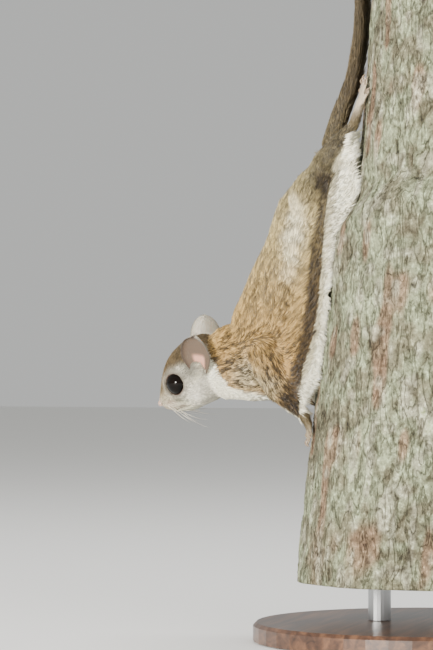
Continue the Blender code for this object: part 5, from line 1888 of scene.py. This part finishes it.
@dataclass
class Whiskers:
    """Fine tapered whiskers swept back and down from the muzzle."""

    each_side: int = 13
    thickness: float = 0.11
    bow: float = 0.16

    def roots(self) -> tuple[Array, Array, Array]:
        """Roots, directions and lengths of the whiskers on both sides."""
        rng = np.random.default_rng(SEED + 400)
        places, ways, lengths = [], [], []
        for side in Side:
            for i in range(self.each_side):
                row, step = i % 4, i // 4
                station = np.array([1.1 + 0.33 * step + 0.1 * row])
                turn = np.array([-18.0 - 10.0 * row + rng.normal(0, 2)])
                spot = head_surface(station, turn if side is Side.LEFT else 180.0 - turn)[0]
                way = (-LEFTWARD * side.value * (0.62 + 0.1 * row) - FORWARD * (0.45 + 0.1 * step)
                       - UPWARD * (0.35 + 0.22 * row) + rng.normal(0, 0.06, 3))
                places.append(spot - unit(way) * 0.6)
                ways.append(unit(way))
                lengths.append(12.0 + 3.6 * step + 3.0 * rng.random())
        return np.array(places), np.array(ways), np.array(lengths)

    def tree(self) -> bpy.types.NodeTree:
        """Geometry Nodes that set a tapered bowed hair on each point."""
        tree = bpy.data.node_groups.new("whiskers", "GeometryNodeTree")
        given = group_inputs(tree, [
            ("Geometry", "Geometry", None), ("Thickness", "Float", 0.1 * MM), ("Bow", "Float", 0.15),
            ("Finish", "Material", None)])
        sag = add_node(tree, "ShaderNodeCombineXYZ", {"X": given["Bow"], "Z": 0.5})
        hair = add_node(tree, "GeometryNodeCurveQuadraticBezier", {
            "Resolution": 12, "Start": (0.0, 0.0, 0.0), "Middle": sag.outputs[0], "End": (0.0, 0.0, 1.0)})
        place = add_node(tree, "GeometryNodeSplineParameter")
        thin = add_node(tree, "ShaderNodeMapRange", {
            "Value": place.outputs["Factor"], "From Min": 0.0, "From Max": 1.0,
            "To Min": 1.0, "To Max": 0.12})
        reach = add_node(tree, "GeometryNodeInputNamedAttribute", {"Name": "reach"}, data_type="FLOAT")
        strewn = add_node(tree, "GeometryNodeInstanceOnPoints", {
            "Points": given["Geometry"], "Instance": hair.outputs[0], "Scale": reach.outputs["Attribute"]})
        way = add_node(tree, "GeometryNodeInputNamedAttribute", {"Name": "way"}, data_type="FLOAT_VECTOR")
        turn = add_node(tree, "FunctionNodeAlignRotationToVector", {
            "Vector": way.outputs["Attribute"]}, axis="Z")
        tree.links.new(turn.outputs[0], strewn.inputs["Rotation"])
        real = add_node(tree, "GeometryNodeRealizeInstances", {0: strewn.outputs[0]})
        size = add_node(tree, "ShaderNodeMath", {
            0: thin.outputs[0], 1: given["Thickness"]}, operation="MULTIPLY")
        ring = add_node(tree, "GeometryNodeCurvePrimitiveCircle", {"Resolution": 5, "Radius": 1.0})
        sized = add_node(tree, "GeometryNodeSetCurveRadius", {
            "Curve": real.outputs[0], "Radius": size.outputs[0]})
        tube = add_node(tree, "GeometryNodeCurveToMesh", {
            "Curve": sized.outputs[0], "Profile Curve": ring.outputs[0], "Fill Caps": True})
        if "Scale" in tube.inputs:
            tree.links.new(size.outputs[0], tube.inputs["Scale"])
        smooth = add_node(tree, "GeometryNodeSetShadeSmooth", {"Geometry": tube.outputs[0]})
        dressed = add_node(tree, "GeometryNodeSetMaterial", {
            "Geometry": smooth.outputs[0], "Material": given["Finish"]})
        add_node(tree, "NodeGroupOutput", {"Geometry": dressed.outputs[0]})
        return tree

    def build(self) -> None:
        """Grow the whiskers and turn them to one plain mesh."""
        places, ways, lengths = self.roots()
        mesh = bpy.data.meshes.new("whisker_roots")
        mesh.from_pydata(((places + SHIFT) * MM).tolist(), [], [])
        for name, kind, key, rows in (("way", "FLOAT_VECTOR", "vector", ways),
                                      ("reach", "FLOAT", "value", lengths * MM)):
            layer = mesh.attributes.new(name, kind, "POINT")
            layer.data.foreach_set(key, rows.astype(np.float32).ravel())
        made = grown(link_new("whisker_host", mesh), self.tree(), {
            "Thickness": self.thickness * MM, "Bow": self.bow,
            "Finish": WhiskerFinish().material()}, "whiskers")
        finish_piece(made)


# Stand, studio and camera


@dataclass
class DisplayStand:
    """The plain stand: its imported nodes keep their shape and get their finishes."""

    def build(self) -> None:
        """Dress the base and the rods."""
        for node, finish in (("stand_base", WalnutFinish()), ("stand_rod_front", BrushedSteelFinish()),
                             ("stand_rod_back", BrushedSteelFinish())):
            dress(frame["nodes"][node].data, finish)
            LOG.info("%s keeps its shape", node)


@dataclass(frozen=True)
class Lamp:
    """A square soft light: its place and size in metres, its watts and its tone."""

    name: str
    place: tuple[float, float, float]
    size: float
    power: float
    tone: str = "#ffffff"
    glints: bool = False


@dataclass
class Studio:
    """Pale floor, soft lights and the camera at the photograph's angle."""

    lamps: tuple[Lamp, ...] = (
        Lamp("key", (-0.4, -1.45, 0.3), 0.26, 50.0, "#fffaf2", True),
        Lamp("fill_left", (-1.0, -1.0, 0.8), 0.9, 10.0, "#f9faff"),
        Lamp("fill_right", (0.95, -1.0, 0.3), 0.9, 14.0),
        Lamp("top", (-0.1, 0.4, 1.3), 0.8, 12.0),
    )
    lit_place: tuple[float, float, float] = (-0.05, 0.0, 0.15)
    floor_drop: float = 0.0005    # m, just under the base
    azimuth: float = 16.0
    distance: float = 1500.0
    picture_height: float = 284.0
    look_at: tuple[float, float, float] = (-45.7, -13.1, 136.5)
    sensor: float = 36.0

    def camera(self) -> None:
        """Camera that looks level at the animal's left side."""
        data = bpy.data.cameras.new("camera")
        camera = link_new("camera", data)
        a = math.radians(self.azimuth)
        back = Vector((math.sin(a), -math.cos(a), 0.0))
        centre = Vector(((np.array(self.look_at) + SHIFT) * MM).tolist())
        camera.location = centre + back * self.distance * MM
        camera.rotation_mode = "QUATERNION"
        camera.rotation_quaternion = (-back).to_track_quat("-Z", "Y")
        data.sensor_width = self.sensor
        data.lens = self.sensor * self.distance / self.picture_height
        data.clip_start, data.clip_end = 0.05, 20.0
        bpy.context.scene.camera = camera

    def light(self, lamp: Lamp) -> None:
        """Set up a light that faces the animal."""
        data = bpy.data.lights.new(lamp.name, "AREA")
        data.shape, data.size, data.energy = "SQUARE", lamp.size, lamp.power
        data.color = linear(lamp.tone)[:3]
        made = link_new(lamp.name, data)
        made.location = lamp.place
        made.rotation_mode = "QUATERNION"
        made.rotation_quaternion = (Vector(self.lit_place) - made.location).to_track_quat("-Z", "Y")
        made.visible_glossy = lamp.glints

    def build(self) -> None:
        """Make the floor, the lights and the camera."""
        bm = bmesh.new()
        bmesh.ops.create_grid(bm, x_segments=4, y_segments=4, size=4.0)
        floor = link_new("floor", mesh_from("floor", bm))
        floor.location.z = -self.floor_drop
        dress(floor.data, StudioPaperFinish())
        for lamp in self.lamps:
            self.light(lamp)
        world = bpy.data.worlds.new("studio_air")
        world.use_nodes = True
        tree = world.node_tree
        tree.nodes.clear()
        air = add_node(tree, "ShaderNodeBackground", {"Color": linear("#d8d9d7"), "Strength": 0.8})
        add_node(tree, "ShaderNodeOutputWorld", {"Surface": air.outputs[0]})
        bpy.context.scene.world = world
        self.camera()


def main() -> None:
    """Build every piece in order and report it."""
    logging.basicConfig(level=logging.INFO, format="%(name)s %(message)s")
    trunk = Trunk()
    trunk.build()
    skin = Skin().build()
    Coat(skin, trunk).build()
    TailBrush(trunk).build()
    Eyes().build()
    Ears().build()
    Nose().build()
    Claws(trunk).build()
    Whiskers().build()
    DisplayStand().build()
    Studio().build()


if __name__ == "__main__":
    main()
